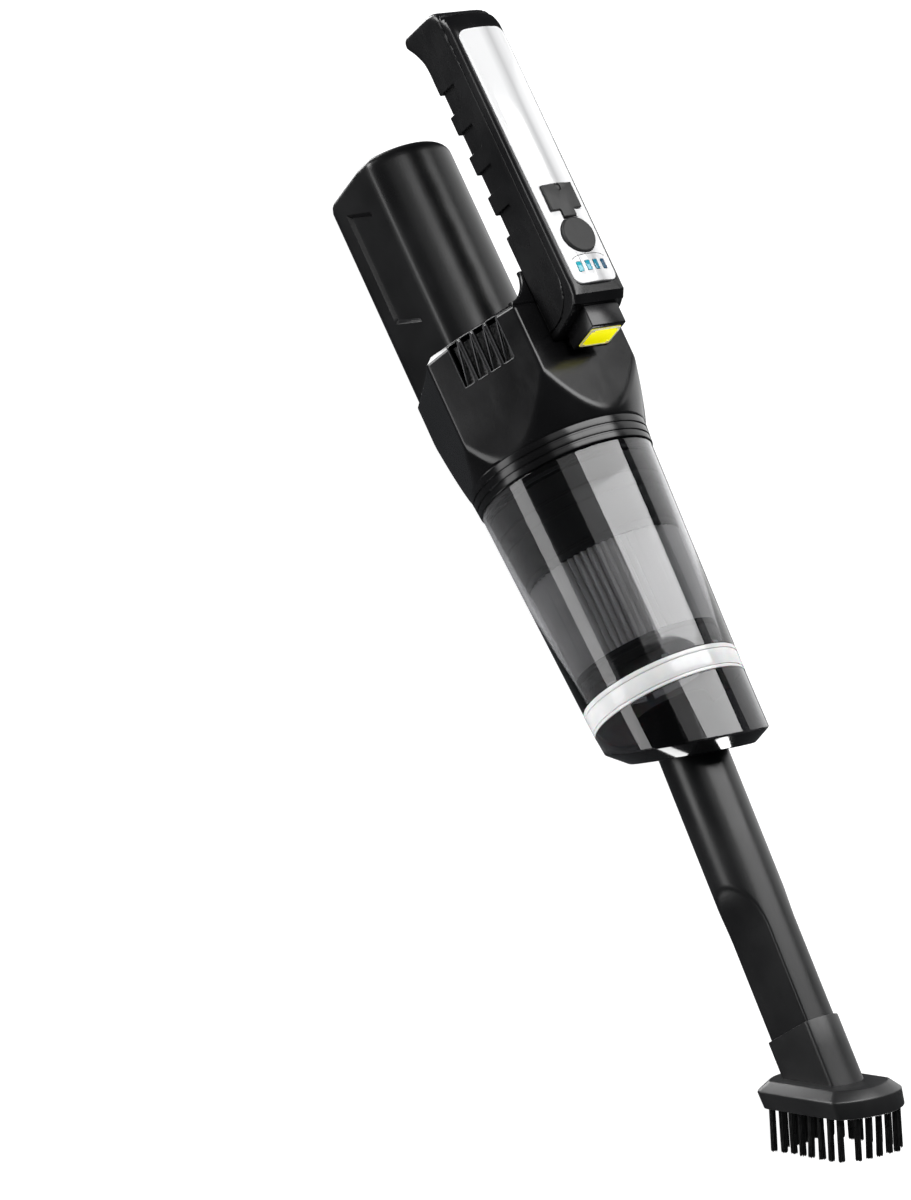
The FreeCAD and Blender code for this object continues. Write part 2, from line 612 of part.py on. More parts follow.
lens_low, lens_high = ("48.2", "0.84"), ("59.2", "0.16")
lamp_block = prism("lamp_block", "XZ_Plane", [
    ("lamp_rear", "lamp_low"), ("lamp_front + lamp_rake", "lamp_low"), ("lamp_front", "lamp_top"),
    ("lamp_rear", "lamp_top")], "0", "lamp_half * 2", symmetric=True)
lamp_neck = slab("lamp_neck", ("lamp_rear", "-7", "top_flat"), ("lamp_front - 1", "7", "lamp_low"))
lamp_pocket = raked("lamp_pocket", " - lens_thick", lens_low, lens_high, "lens_wide", " + lens_thick + 1")
lamp_well = raked("lamp_well", " - 6", ("49.2", "0.78"), ("58.2", "0.22"), "lens_wide - 2", " + 6")
lamp_shell = cut("lamp_shell", fuse("lamp_body", [lamp_block, lamp_neck]), [
    handle_block, lamp_pocket, lamp_well])
subpart(lamp_shell, "lamp_housing")
subpart(raked("lens_plate", " - lens_thick", lens_low, lens_high, "lens_wide - 0.1", " + lens_thick + 0.25"),
        "lamp_lens")
subpart(raked("lamp_plate", " - 5.9", ("49.6", "0.753"), ("57.8", "0.247"), "lens_wide - 2.4", " + 1.1"),
        "lamp_board")
subpart(raked("lamp_chip", " - 4.7", ("50.4", "0.7"), ("57", "0.3"), "lens_wide - 6", " + 0.8"),
        "lamp_emitter")


# ---------------------------------------------------------------- collar

def groove(place):
    radius = f"collar_front_radius - 0.085 * {place}"
    return [(str(place), radius), (str(place), radius + " - groove_depth"),
            (f"{place} - groove_width", radius + " - groove_depth"), (f"{place} - groove_width", radius)]


collar = turned("collar_form", [
    ("housing_front", "collar_bore - 1.6"), ("spigot_depth", "collar_bore - 1.6"),
    ("spigot_depth", "collar_bore + 1"), ("seal_place + 1.6", "collar_bore + 1"),
    ("seal_place + 1.6", "collar_bore"), ("seal_place", "collar_bore"),
    ("seal_place", "collar_bore + 1"), ("0", "collar_bore + 1"), ("0", "collar_front_radius"),
    *groove(-2.6), *groove(-6.2), ("housing_front", "collar_rear_radius")])
subpart(collar, "collar")
subpart(turned("seal_form", [
    ("seal_place", "collar_bore"), ("seal_place + 1.6", "collar_bore"),
    ("seal_place + 1.6", "collar_bore + 1.2"), ("seal_place", "collar_bore + 1.2")]), "cup_seal")
grille_disc = turned("grille_disc", [
    ("housing_front + 0.6", "0"), ("housing_front + 2", "0"), ("housing_front + 2", "collar_bore - 1.8"),
    ("housing_front + 0.6", "collar_bore - 1.8")])
grille_slots = []
for index in range(7):
    reach = math.sqrt(26 ** 2 - (7 * (index - 3)) ** 2)
    grille_slots.append(box(f"grille_slot_{index}", "4", str(round(reach * 2, 1)), "3.6",
                            ("housing_front - 1", str(round(-reach, 1)), str(7 * (index - 3) - 1.8))))
subpart(cut("grille_form", grille_disc, grille_slots), "inlet_grille")


# ---------------------------------------------------------------- motor and fan

can = turned("can_form", [
    ("motor_rear", "motor_radius - motor_wall"), ("motor_front - 1.6", "motor_radius - motor_wall"),
    ("motor_front - 1.6", "bearing_radius"), ("motor_front", "bearing_radius"),
    ("motor_front", "motor_radius"), ("motor_rear", "motor_radius")])
motor_screw_spots = [(0, 11), (0, -11)]
screw_paths = [rod(f"motor_path_{i}", "1.1", "8", ("motor_front - 6", str(y), str(z)))
               for i, (y, z) in enumerate(motor_screw_spots)]
subpart(cut("can_cut", can, screw_paths), "motor_can")
subpart(turned("bell_form", [
    ("motor_rear - 2.2", "bearing_radius"), ("motor_rear", "bearing_radius"),
    ("motor_rear", "motor_radius"), ("motor_rear - 2.2", "motor_radius - 1")]), "motor_end_bell")
for label, start in (("bearing_front", "motor_front - bearing_width"),
                     ("bearing_rear", "motor_rear - 2.6")):
    subpart(turned(label + "_form", [
        (start, "shaft_radius + shaft_fit"), (start + " + bearing_width", "shaft_radius + shaft_fit"),
        (start + " + bearing_width", "bearing_radius"), (start, "bearing_radius")]), label)
subpart(turned("magnet_form", [
    ("motor_rear + 6", "magnet_bore"), ("motor_front - 6", "magnet_bore"),
    ("motor_front - 6", "magnet_radius"), ("motor_rear + 6", "magnet_radius")]), "motor_magnets")

mount = turned("mount_form", [
    ("motor_front - 6", "motor_radius"), ("motor_front", "motor_radius"), ("motor_front", "8"),
    ("motor_front + 1.2", "8"), ("motor_front + 1.2", "motor_radius + 2"),
    ("motor_front - 3", "motor_radius + 2"), ("motor_front - 3", "mount_radius"),
    ("motor_front - 6", "mount_radius")])
windows = []
for index in range(6):
    turn = Rotation(Vector(1, 0, 0), 60 * index + 30)
    window = doc.addObject("Part::Box", f"mount_window_{index}")
    bind(window, Length="10", Width="11", Height="9")
    window.Placement = Placement(turn.multVec(Vector(-33, -5.5, 22.5)), turn)
    windows.append(window)
subpart(cut("mount_cut", mount, windows + screw_paths), "motor_mount")
motor_screws = []
for index, (y, z) in enumerate(motor_screw_spots):
    motor_screws.append(rod(f"motor_shank_{index}", "1.1", "6", ("motor_front - 4", str(y), str(z))))
    motor_screws.append(rod(f"motor_head_{index}", "2", "1.2", ("motor_front + 1.2", str(y), str(z))))
subpart(fuse("motor_screw_set", motor_screws), "motor_screws")

subpart(turned("shroud_form", [
    ("motor_front - 3", "fan_radius + 1.6"), ("shroud_front - 1.4", "fan_radius + 1.6"),
    ("shroud_front - 1.4", "shroud_eye"), ("shroud_front", "shroud_eye"),
    ("shroud_front", "shroud_radius"), ("motor_front - 3", "shroud_radius")]), "fan_shroud")

subpart(turned("shaft_form", [
    ("motor_rear - 2.8", "0"), ("fan_front + 1", "0"), ("fan_front + 1", "shaft_radius"),
    ("motor_rear - 2.8", "shaft_radius")]), "motor_shaft")
rotor = turned("rotor_form", [
    ("motor_rear + 6", "shaft_radius"), ("motor_front - 6", "shaft_radius"),
    ("motor_front - 6", "rotor_radius"), ("motor_rear + 6", "rotor_radius")])
rotor_slots = []
for index in range(5):
    turn = Rotation(Vector(1, 0, 0), 72 * index)
    item = doc.addObject("Part::Box", f"rotor_slot_{index}")
    bind(item, Length="40", Width="2", Height="6")
    item.Placement = Placement(turn.multVec(Vector(-58, -1, 8)), turn)
    rotor_slots.append(item)
subpart(cut("rotor_cut", rotor, rotor_slots), "motor_rotor")

fan_disc = turned("fan_disc", [
    ("fan_rear", "shaft_radius"), ("fan_front", "shaft_radius"), ("fan_front", "fan_hub - 2"),
    ("fan_rear + 1.4", "fan_hub"), ("fan_rear + 1.4", "fan_radius"), ("fan_rear", "fan_radius")])
blades = []
for index in range(sizes["fan_blades"]):
    turn = Rotation(Vector(1, 0, 0), 360 * index / sizes["fan_blades"])
    blade_ring = doc.addObject("Part::Cylinder", f"blade_{index}")
    bind(blade_ring, Radius="22", Height="fan_front - fan_rear - 1", Angle="62")
    blade_void = doc.addObject("Part::Cylinder", f"blade_void_{index}")
    bind(blade_void, Radius="20.8", Height="20", Angle="360")
    spot = turn.multVec(Vector(0, 4, -17.5))
    for item, back in ((blade_ring, 0.5), (blade_void, -4)):
        item.Placement = Placement(spot + Vector(sheet.fan_rear + back, 0, 0), turn * ALONG["X"])
    blades.append(cut(f"blade_cut_{index}", blade_ring, [blade_void]))
fan_trim = turned("fan_trim", [
    ("fan_rear", "fan_hub - 1"), ("fan_front", "fan_hub - 1"), ("fan_front", "fan_radius - 3"),
    ("fan_rear", "fan_radius - 0.5")])
fan_vanes = common("fan_vanes", [fuse("fan_blades", blades), fan_trim])
subpart(fuse("fan_form", [fan_disc, fan_vanes]), "impeller")

foam_block = facet_box("foam_block", "18.4", "3", "24", sheet.vent_rear + 1.3, -10.5)
foam_block.Placement = Placement(
    foam_block.Placement.Base + foam_block.Placement.Rotation.multVec(Vector(0, -4.6, 0)),
    foam_block.Placement.Rotation)
foam_clear = fuse("foam_pair", [foam_block, mirrored("foam_far", foam_block)])
subpart(foam_clear, "exhaust_foam")


# ---------------------------------------------------------------- filter

holder = turned("holder_form", [
    ("-1 * spigot_depth", "collar_bore - 4"), ("spigot_depth + 2", "collar_bore - 4"),
    ("holder_front - 2", "holder_front_radius - 2"), ("holder_front - 2", "filter_bore"),
    ("holder_front", "filter_bore"), ("holder_front", "holder_front_radius"),
    ("spigot_depth + 0.4", "holder_rear_radius"), ("spigot_depth + 0.4", "collar_bore - 2"),
    ("-1 * spigot_depth", "collar_bore - 2")])
core = turned("filter_core", [
    ("holder_front - 1", "filter_bore - 1.8"), ("pleat_front", "filter_bore - 1.8"),
    ("pleat_front", "filter_bore - 0.2"), ("holder_front - 1", "filter_bore - 0.2")])
core_foot = turned("core_foot", [
    ("holder_front - 2", "filter_bore - 1.8"), ("holder_front", "filter_bore - 1.8"),
    ("holder_front", "filter_bore + 1"), ("holder_front - 2", "filter_bore + 1")])
core_slots = []
for index in range(3):
    turn = Rotation(Vector(1, 0, 0), 60 * index)
    item = doc.addObject("Part::Box", f"core_slot_{index}")
    bind(item, Length="pleat_front - holder_front - 8", Width="14", Height="60")
    item.Placement = Placement(turn.multVec(Vector(43, -7, -30)), turn)
    core_slots.append(item)
subpart(fuse("holder_whole", [holder, cut("core_cut", core, core_slots), core_foot]), "filter_frame")


def pleat_ring(place, radius):
    """A closed zigzag of pleats across X."""
    count = int(sheet.pleat_count)
    points = []
    for index in range(count * 2):
        reach = radius - (index % 2) * sheet.pleat_depth
        angle = math.pi * index / count
        points.append(Vector(place, reach * math.cos(angle), reach * math.sin(angle)))
    return Part.makePolygon(points + points[:1])


paper = Part.makeLoft([pleat_ring(sheet.holder_front, sheet.holder_front_radius - 0.3),
                       pleat_ring(sheet.pleat_front, sheet.pleat_front_radius)], True, True)
paper_bore = Part.makeCylinder(sheet.filter_bore, 60, Vector(sheet.holder_front - 5, 0, 0), Vector(1, 0, 0))
subpart(solid("pleat_form", paper.cut(paper_bore)), "filter_pleats")
subpart(turned("end_form", [
    ("pleat_front", "0"), ("filter_front - 3", "0"), ("filter_front - 3", "filter_bore - 4"),
    ("filter_front", "filter_bore - 2"), ("filter_front", "filter_end_radius - 0.8"),
    ("filter_front - 0.8", "filter_end_radius"), ("pleat_front", "pleat_front_radius + 0.3")]),
    "filter_end_cap")


# ---------------------------------------------------------------- dust cup

def cup_wall(name, start, end, more="", thicker=""):
    radii = [f"cup_radius + cup_taper * {place}" for place in (start, end)]
    return turned(name, [
        (start, radii[0] + " - cup_wall" + thicker), (end, radii[1] + " - cup_wall" + thicker),
        (end, radii[1] + more), (start, radii[0] + more)])


def slanted_box(name, ahead):
    """Everything beyond a plane parallel to the slanted rim."""
    item = doc.addObject("Part::Box", name)
    bind(item, Length="80", Width="120", Height="120")
    turn = Rotation(Vector(0, 1, 0), sheet.rim_slant)
    corner = Vector(sheet.rim_place + ahead, 0, 0) + turn.multVec(Vector(0, -60, -60))
    item.Placement = Placement(corner, turn)
    return item


subpart(cup_wall("cup_form", "cup_gap", "ring_rear"), "dust_cup")
band = cup_wall("band_form", "ring_rear", "ring_front", " + ring_proud", " - 0.8")
lugs = []
for index in range(8):
    turn = Rotation(Vector(1, 0, 0), 45 * index + 12)
    item = doc.addObject("Part::Box", f"lug_{index}")
    bind(item, Length="2.6", Width="3", Height="0.8")
    inner_radius = sheet.cup_radius + sheet.cup_taper * sheet.ring_rear - sheet.cup_wall
    item.Placement = Placement(turn.multVec(Vector(sheet.ring_rear - 1.8, -1.5, inner_radius - 1)), turn)
    lugs.append(item)
subpart(fuse("band_whole", [band] + lugs), "cup_ring")
subpart(cut("front_cut", cup_wall("front_form", "ring_front", "140"), [slanted_box("rim_plane", 0)]),
        "cup_front")


def nose_oval(depth, radius):
    """An oval in a plane parallel to the rim, round when seen along X."""
    lean = math.radians(sheet.rim_slant)
    centre = Vector(sheet.rim_place + depth, 0, 0)
    tall = Vector(math.sin(lean), 0, math.cos(lean)) * (radius / math.cos(lean))
    wide = Vector(0, radius, 0)
    return Part.Wire(Part.Ellipse(centre + tall, centre + wide, centre).toShape())


rim_radius = sheet.cup_radius + sheet.cup_taper * sheet.rim_place
nose_outer = Part.makeLoft([nose_oval(0, rim_radius), nose_oval(sheet.nose_depth, sheet.nose_radius)], True)
nose_inner = Part.makeLoft([nose_oval(-0.1, rim_radius - sheet.cup_wall),
                            nose_oval(sheet.nose_depth - sheet.cup_wall, sheet.nose_radius - 1.4)], True)
tool_turn = Rotation(Vector(0, 1, 0), sheet.tool_tilt)
tool_axis = tool_turn.multVec(Vector(1, 0, 0))
tool_root = Vector(sheet.tool_place, 0, 0)


def tool_rod(radius, start, end):
    return Part.makeCylinder(radius, end - start, tool_root + tool_axis * start, tool_axis)


socket_radius = sheet.tool_radius + sheet.gap + sheet.socket_wall
socket = tool_rod(socket_radius, sheet.tool_tail - 2, 30)
nose_shape = nose_outer.cut(nose_inner).fuse(socket)
beyond = Part.makeBox(80, 120, 120)
rim_turn = Rotation(Vector(0, 1, 0), sheet.rim_slant)
beyond.Placement = Placement(
    Vector(sheet.rim_place + sheet.nose_depth, 0, 0) + rim_turn.multVec(Vector(0, -60, -60)), rim_turn)
nose_shape = nose_shape.cut(beyond)
nose_shape = nose_shape.cut(tool_rod(sheet.tool_radius + sheet.gap, sheet.tool_tail - 0.3, 40))
nose_shape = nose_shape.cut(tool_rod(sheet.valve_radius - 1.2, sheet.tool_tail - 4, 10))
subpart(solid("nose_form", nose_shape.removeSplitter()), "nose_cap")

valve_disc = rod("valve_disc", "valve_radius", "valve_thick", ("tool_tail - 2.2 - valve_thick", "0", "0"))
valve_tab = box("valve_tab", "valve_thick", "8", "3",
                ("tool_tail - 2.2 - valve_thick", "-4", "valve_radius - 1.4"))
valve_pin = rod("valve_pin", "valve_pin_radius", "12", ("tool_tail - 2.8", "-6", "valve_radius + 1.8"), "Y")
subpart(fuse("valve_form", [valve_disc, valve_tab, valve_pin]), "inlet_flap", TOOL)


# ---------------------------------------------------------------- crevice tool

def tool_form(name, inset, start, length):
    """The tube with a flat scooped into each side, 'inset' in from its skin."""
    tube = rod(name + "_tube", "tool_radius" + inset, length, (start, "0", "0"))
    flats = []
    for side in SIDES:
        sign = f"{side} * "
        bend = "scoop_round" if side > 0 else "-scoop_round"
        swap = inset.replace(" - ", f" - {side} * ").replace(" + ", f" + {side} * ")
        flats.append(prism(f"{name}_flat_{side + 1}", "XY_Plane", [
            ("scoop_start", f"{sign}tool_radius{swap}"),
            ("scoop_end", f"{sign}tool_flat{swap}", bend),
            ("tool_end + 60", f"{sign}tool_flat{swap}"),
            ("tool_end + 60", f"{side * 22}"), ("scoop_start", f"{side * 22}")], "0", "50", symmetric=True))
    return cut(name, tube, flats)


tool_outer = tool_form("tool_outer", "", "tool_tail", "tool_end - tool_tail")
tool_bore = tool_form("tool_bore", " - tool_wall", "tool_tail - 1", "tool_end - tool_tail + 2")
subpart(cut("tool_tube", tool_outer, [tool_bore]), "crevice_tool", TOOL)


# ---------------------------------------------------------------- brush

PLATE = Placement(Vector(sheet.plate_ahead, 0, sheet.plate_drop),
                  Rotation(Vector(0, 1, 0), sheet.plate_tilt))


def plate_outline(depth, inset, shift=0.0, round_in=0.0):
    """The plate's outline: straight sides with bowed ends."""
    half = sheet.plate_half - inset
    straight = sheet.plate_straight - inset * 0.75
    tip = straight + sheet.plate_bulge - round_in
    right_low, right_high = Vector(depth, half, shift - straight), Vector(depth, half, shift + straight)
    left_low, left_high = Vector(depth, -half, shift - straight), Vector(depth, -half, shift + straight)
    return Part.Wire([
        Part.makeLine(right_low, right_high),
        Part.Arc(right_high, Vector(depth, 0, shift + tip), left_high).toShape(),
        Part.makeLine(left_high, left_low),
        Part.Arc(left_low, Vector(depth, 0, shift - tip), right_low).toShape()])


bevel_top = plate_outline(-sheet.plate_bevel, sheet.plate_bevel, 0, 0.6)
bevel = Part.makeLoft([bevel_top, plate_outline(0, 0)], True)
skirt = Part.makeLoft([plate_outline(0, 0), plate_outline(sheet.skirt_depth, 0.7, sheet.skirt_shift)], True)
hollow = Part.makeLoft([plate_outline(sheet.skirt_depth - 3, 6, sheet.skirt_shift, 1),
                        plate_outline(sheet.skirt_depth + 1, 6, sheet.skirt_shift, 1)], True)
plate = solid("plate_form", bevel.fuse(skirt).removeSplitter())
plate.Placement = PLATE
mouth_zone = solid("mouth_zone", hollow)
mouth_zone.Placement = PLATE
sleeve_trim = solid("sleeve_trim", Part.makeBox(60, 100, 100, Vector(0, -50, -50)))
sleeve_trim.Placement = PLATE
sleeve_outer = cut("sleeve_cut", tool_form(
    "sleeve_outer", " + gap + sleeve_wall", "sleeve_start", "40"), [sleeve_trim])
sleeve_bore = tool_form("sleeve_bore", " + gap", "sleeve_start - 1", "60")
brush_block = fuse("brush_block", [plate, sleeve_outer])
subpart(cut("brush_cut", brush_block, [sleeve_bore, mouth_zone]), "brush_head", TOOL)


def tuft(across, along):
    base = Vector(sheet.skirt_depth, across, along + sheet.skirt_shift)
    return Part.makeCylinder(sheet.tuft_radius, sheet.tuft_length, base, Vector(1, 0, 0))


tufts, end_tufts = [], []
row_half = sheet.tuft_pitch * (sheet.tuft_count - 1) / 2
for index in range(int(sheet.tuft_count)):
    along = index * sheet.tuft_pitch - row_half
    pair = [tuft(side * (sheet.plate_half - 3.4), along) for side in SIDES]
    at_end = index in (0, int(sheet.tuft_count) - 1)
    (end_tufts if at_end else tufts).extend(pair)
for across in (-11, -5.5, 0, 5.5, 11):
    bow = 5.5 * (1 - (across / 22) ** 2)
    (end_tufts if across == 0 else tufts).append(tuft(across, row_half + bow))
for across in (-8.3, -2.8, 2.8, 8.3):
    (end_tufts if abs(across) < 5 else tufts).append(tuft(across, -row_half - 1.6))
subpart(solid("tuft_form", Part.makeCompound(tufts)), "brush_tufts", TOOL * PLATE)
subpart(solid("end_tuft_form", Part.makeCompound(end_tufts)), "brush_end_tufts", TOOL * PLATE)


# ---------------------------------------------------------------- check and write

doc.recompute()
for item in doc.Objects:
    if "Invalid" in item.State or "Error" in item.State:
        raise RuntimeError(f"{item.Label} did not recompute: {item.State}")
for item in subparts:
    if item.Shape.isNull() or not item.Shape.isValid():
        raise RuntimeError(f"{item.Label} has no valid shape")
for item in subparts:
    item.Shape.exportStep(f"parts/{item.Label}.step")
print(f"{len(subparts)} sub-parts written")
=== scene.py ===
import math
import random

import bmesh
import bpy
import numpy as np
from mathutils import Matrix, Vector


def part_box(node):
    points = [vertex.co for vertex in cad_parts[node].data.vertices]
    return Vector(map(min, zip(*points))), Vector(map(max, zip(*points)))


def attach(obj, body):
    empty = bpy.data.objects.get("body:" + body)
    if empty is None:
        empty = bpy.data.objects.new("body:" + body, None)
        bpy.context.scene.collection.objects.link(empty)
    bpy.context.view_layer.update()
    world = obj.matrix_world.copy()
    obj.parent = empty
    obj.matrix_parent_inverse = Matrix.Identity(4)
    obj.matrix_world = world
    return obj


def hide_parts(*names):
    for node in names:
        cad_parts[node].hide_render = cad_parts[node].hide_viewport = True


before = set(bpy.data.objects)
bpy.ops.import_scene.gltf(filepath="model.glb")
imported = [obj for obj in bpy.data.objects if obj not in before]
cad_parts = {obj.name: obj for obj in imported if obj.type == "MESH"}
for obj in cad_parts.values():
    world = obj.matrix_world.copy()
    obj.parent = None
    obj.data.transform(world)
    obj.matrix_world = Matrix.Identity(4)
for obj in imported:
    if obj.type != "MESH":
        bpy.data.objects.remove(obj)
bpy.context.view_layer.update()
scene = bpy.context.scene

# the shapes are worked out in millimetres about the axis of the dust cup
mm = 0.001
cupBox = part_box("dust_cup")
axisPoint = np.array([cupBox[0].x / mm - 0.3, 0.0, (cupBox[0].z + cupBox[1].z) / 2 / mm])
toolTilt = math.radians(4.2)
toolRoot = np.array([129.8, 0.0, 0.0])
plateTilt = math.radians(26.8)
plateRoot = np.array([148.0, 0.0, 1.2])
rimSlant = math.tan(math.radians(21.1))


def turnDown(points, angle):
    turned = np.array(points, float)
    x, z = turned[..., 0].copy(), turned[..., 2].copy()
    turned[..., 0] = x * math.cos(angle) + z * math.sin(angle)
    turned[..., 2] = -x * math.sin(angle) + z * math.cos(angle)
    return turned


def onTool(points):
    return turnDown(points, toolTilt) + toolRoot


def onPlate(points):
    return onTool(turnDown(points, plateTilt) + plateRoot)


# camera, lights and floor

cameraLook = {
    "place": (0.7911, -1.7872, 1.8725),
    "right": (0.3976, 0.7439, 0.5371),
    "up": (-0.8762, 0.1340, 0.4630),
    "lens": 192,
}
cameraData = bpy.data.cameras.new("camera")
cameraData.lens = cameraLook["lens"]
cameraData.sensor_width = 36
cameraData.clip_start = 0.1
cameraData.clip_end = 20
camera = bpy.data.objects.new("camera", cameraData)
rightWay = Vector(cameraLook["right"]).normalized()
upWay = Vector(cameraLook["up"])
upWay = (upWay - rightWay * upWay.dot(rightWay)).normalized()
backWay = rightWay.cross(upWay)
camera.matrix_world = Matrix.Translation(cameraLook["place"]) @ Matrix(
    (rightWay, upWay, backWay)).transposed().to_4x4()
scene.collection.objects.link(camera)
scene.camera = camera
scene.view_settings.view_transform = "Standard"

middle = Vector((0.12, 0.0, 0.05))
softboxes = {       # where each panel of light stands from the middle, its size and its radiance
    "overhead": {"way": (-0.27, 0.17, 0.95), "far": 1.5, "size": (0.66, 1.66), "radiance": 8.0},
    "shoulder": {"way": (-0.27, -0.51, 0.82), "far": 1.5, "size": (0.7, 0.66), "radiance": 1.0},
    "lowStrip": {"way": (-0.27, -0.925, -0.27), "far": 1.3, "size": (0.7, 0.42), "radiance": 4.5},
    "farSide": {"way": (-0.27, 0.96, 0.07), "far": 1.5, "size": (0.9, 1.84), "radiance": 1.2},
    "tail": {"way": (-0.87, 0.13, -0.47), "far": 1.4, "size": (0.5, 0.5), "radiance": 9.0},
    "tailSide": {"way": (-0.78, -0.6, -0.15), "far": 1.4, "size": (0.6, 0.6), "radiance": 11.0},
    "nose": {"way": (0.83, 0.36, -0.42), "far": 1.4, "size": (0.5, 0.5), "radiance": 18.0},
    "recessEnds": {"way": (-0.62, 0.38, -0.65), "far": 1.4, "size": (0.34, 0.34), "radiance": 4.0},
    "noseSide": {"way": (0.62, -0.38, -0.68), "far": 1.4, "size": (0.3, 0.3), "radiance": 7.0},
    "noseLow": {"way": (0.74, 0.1, -0.66), "far": 1.4, "size": (0.22, 0.4), "radiance": 12.0},
}


def addSoftbox(name, look):
    data = bpy.data.lights.new(name, "AREA")
    data.shape = "RECTANGLE"
    data.size, data.size_y = look["size"]
    data.energy = look["radiance"] * math.pi * data.size * data.size_y
    light = bpy.data.objects.new(name, data)
    back = Vector(look["way"]).normalized()
    across = (Vector((1, 0, 0)) - back * back.x).normalized()
    light.matrix_world = Matrix.Translation(middle + back * look["far"]) @ Matrix(
        (across, back.cross(across), back)).transposed().to_4x4()
    light.visible_camera = False
    scene.collection.objects.link(light)


for name, look in softboxes.items():
    addSoftbox(name, look)

studio = bpy.data.worlds.new("studio")
scene.world = studio
studio.use_nodes = True
tree = studio.node_tree
tree.nodes.clear()
seen = tree.nodes.new("ShaderNodeBackground")
seen.inputs["Color"].default_value = (1, 1, 1, 1)
seen.inputs["Strength"].default_value = 1.1
felt = tree.nodes.new("ShaderNodeBackground")
felt.inputs["Color"].default_value = (0.9, 0.95, 1, 1)
felt.inputs["Strength"].default_value = 0.06
path = tree.nodes.new("ShaderNodeLightPath")
blendNode = tree.nodes.new("ShaderNodeMixShader")
tree.links.new(path.outputs["Is Camera Ray"], blendNode.inputs[0])
tree.links.new(felt.outputs[0], blendNode.inputs[1])
tree.links.new(seen.outputs[0], blendNode.inputs[2])
tree.links.new(blendNode.outputs[0], tree.nodes.new("ShaderNodeOutputWorld").inputs[0])
print("camera and lights ready")


# finishes

def startFinish(name, colour, rough, **sockets):
    made = bpy.data.materials.new(name)
    made.use_nodes = True
    shader = made.node_tree.nodes["Principled BSDF"]
    shader.inputs["Base Color"].default_value = (*colour, 1)
    shader.inputs["Roughness"].default_value = rough
    for socket, value in sockets.items():
        shader.inputs[socket.replace("_", " ")].default_value = value
    return made, made.node_tree, shader


def node(tree, kind, **settings):
    made = tree.nodes.new("ShaderNode" + kind)
    for key, value in settings.items():
        if hasattr(made, key):
            setattr(made, key, value)
        else:
            made.inputs[key.replace("_", " ")].default_value = value
    return made


# noise in the object's own space, drawn out along an axis where stretch is below 1
def noiseOf(tree, scale, detail=4.0, stretch=(1, 1, 1)):
    place = node(tree, "TexCoord")
    mapping = node(tree, "Mapping")
    mapping.inputs["Scale"].default_value = stretch
    texture = node(tree, "TexNoise", Scale=scale, Detail=detail)
    tree.links.new(place.outputs["Object"], mapping.inputs["Vector"])
    tree.links.new(mapping.outputs["Vector"], texture.inputs["Vector"])
    return texture.outputs["Fac"]


# how far to the side each point lies
def sideOf(tree):
    place = node(tree, "TexCoord")
    parts = node(tree, "SeparateXYZ")
    tree.links.new(place.outputs["Object"], parts.inputs[0])
    return parts.outputs["Y"]


def cellsOf(tree, scale, randomness=1.0):
    place = node(tree, "TexCoord")
    cells = node(tree, "TexVoronoi", Scale=scale, Randomness=randomness)
    tree.links.new(place.outputs["Object"], cells.inputs["Vector"])
    return cells.outputs["Distance"]


def rangeOf(tree, source, low, high, fromLow=0.3, fromHigh=0.7):
    ranged = node(tree, "MapRange", From_Min=fromLow, From_Max=fromHigh, To_Min=low, To_Max=high)
    tree.links.new(source, ranged.inputs["Value"])
    return ranged.outputs["Result"]


def rampOf(tree, source, stops):
    ramp = node(tree, "ValToRGB")
    while len(ramp.color_ramp.elements) < len(stops):
        ramp.color_ramp.elements.new(0.5)
    for element, (place, colour) in zip(ramp.color_ramp.elements, stops):
        element.position = place
        element.color = (*colour, 1)
    tree.links.new(source, ramp.inputs["Fac"])
    return ramp.outputs["Color"]


def bumpOf(tree, shader, source, strength, distance):
    bump = node(tree, "Bump", Strength=strength, Distance=distance)
    tree.links.new(source, bump.inputs["Height"])
    tree.links.new(bump.outputs["Normal"], shader.inputs["Normal"])
    return bump


# a moulded plastic: slow tone changes, fine rub marks and a fine grain
def plasticFinish(name, dark, light, rough, roughSpread, grain, bump, shine=0.5):
    made, tree, shader = startFinish(name, dark, rough, Specular_IOR_Level=shine)
    slow = noiseOf(tree, 38, 3)
    fine = noiseOf(tree, grain, 5)
    rubbed = noiseOf(tree, 260, 6, (0.25, 1, 1))
    tree.links.new(rampOf(tree, slow, [(0.35, dark), (0.65, light)]), shader.inputs["Base Color"])
    mixed = node(tree, "Math", operation="ADD")
    tree.links.new(rangeOf(tree, slow, rough - roughSpread, rough + roughSpread), mixed.inputs[0])
    tree.links.new(rangeOf(tree, rubbed, 0, roughSpread, 0.55, 0.75), mixed.inputs[1])
    tree.links.new(mixed.outputs[0], shader.inputs["Roughness"])
    bumpOf(tree, shader, fine, bump, 0.00004)
    return made


# white gloss with a painted reflection: a soft grey band runs along the panel at one place across it, its edge
# wobbled by stretched noise
def panelFinish():
    made, tree, shader = startFinish("panelWhite", (0.62, 0.62, 0.625), 0.12)
    side = sideOf(tree)
    flow = noiseOf(tree, 55, 3, (0.12, 1, 1))
    bent = node(tree, "Math", operation="MULTIPLY_ADD")
    bent.inputs[1].default_value = 0.004
    tree.links.new(flow, bent.inputs[0])
    tree.links.new(side, bent.inputs[2])
    # painted reflection: the base colour turns grey in a band along the panel a few millimetres off its middle,
    # standing in for the gloss reflecting the lights
    across = rangeOf(tree, bent.outputs[0], 0, 1, -0.012, 0.016)
    white, reflectionGrey, reflectionFaded = (0.8, 0.8, 0.805), (0.52, 0.52, 0.525), (0.66, 0.66, 0.665)
    paintedReflection = rampOf(tree, across, [(0.0, white), (0.42, white), (0.58, reflectionGrey), (0.66, reflectionFaded), (0.8, white)])
    tree.links.new(paintedReflection, shader.inputs["Base Color"])
    tree.links.new(rangeOf(tree, flow, 0.08, 0.16), shader.inputs["Roughness"])
    bumpOf(tree, shader, noiseOf(tree, 900, 5), 0.02, 0.00004)
    return made


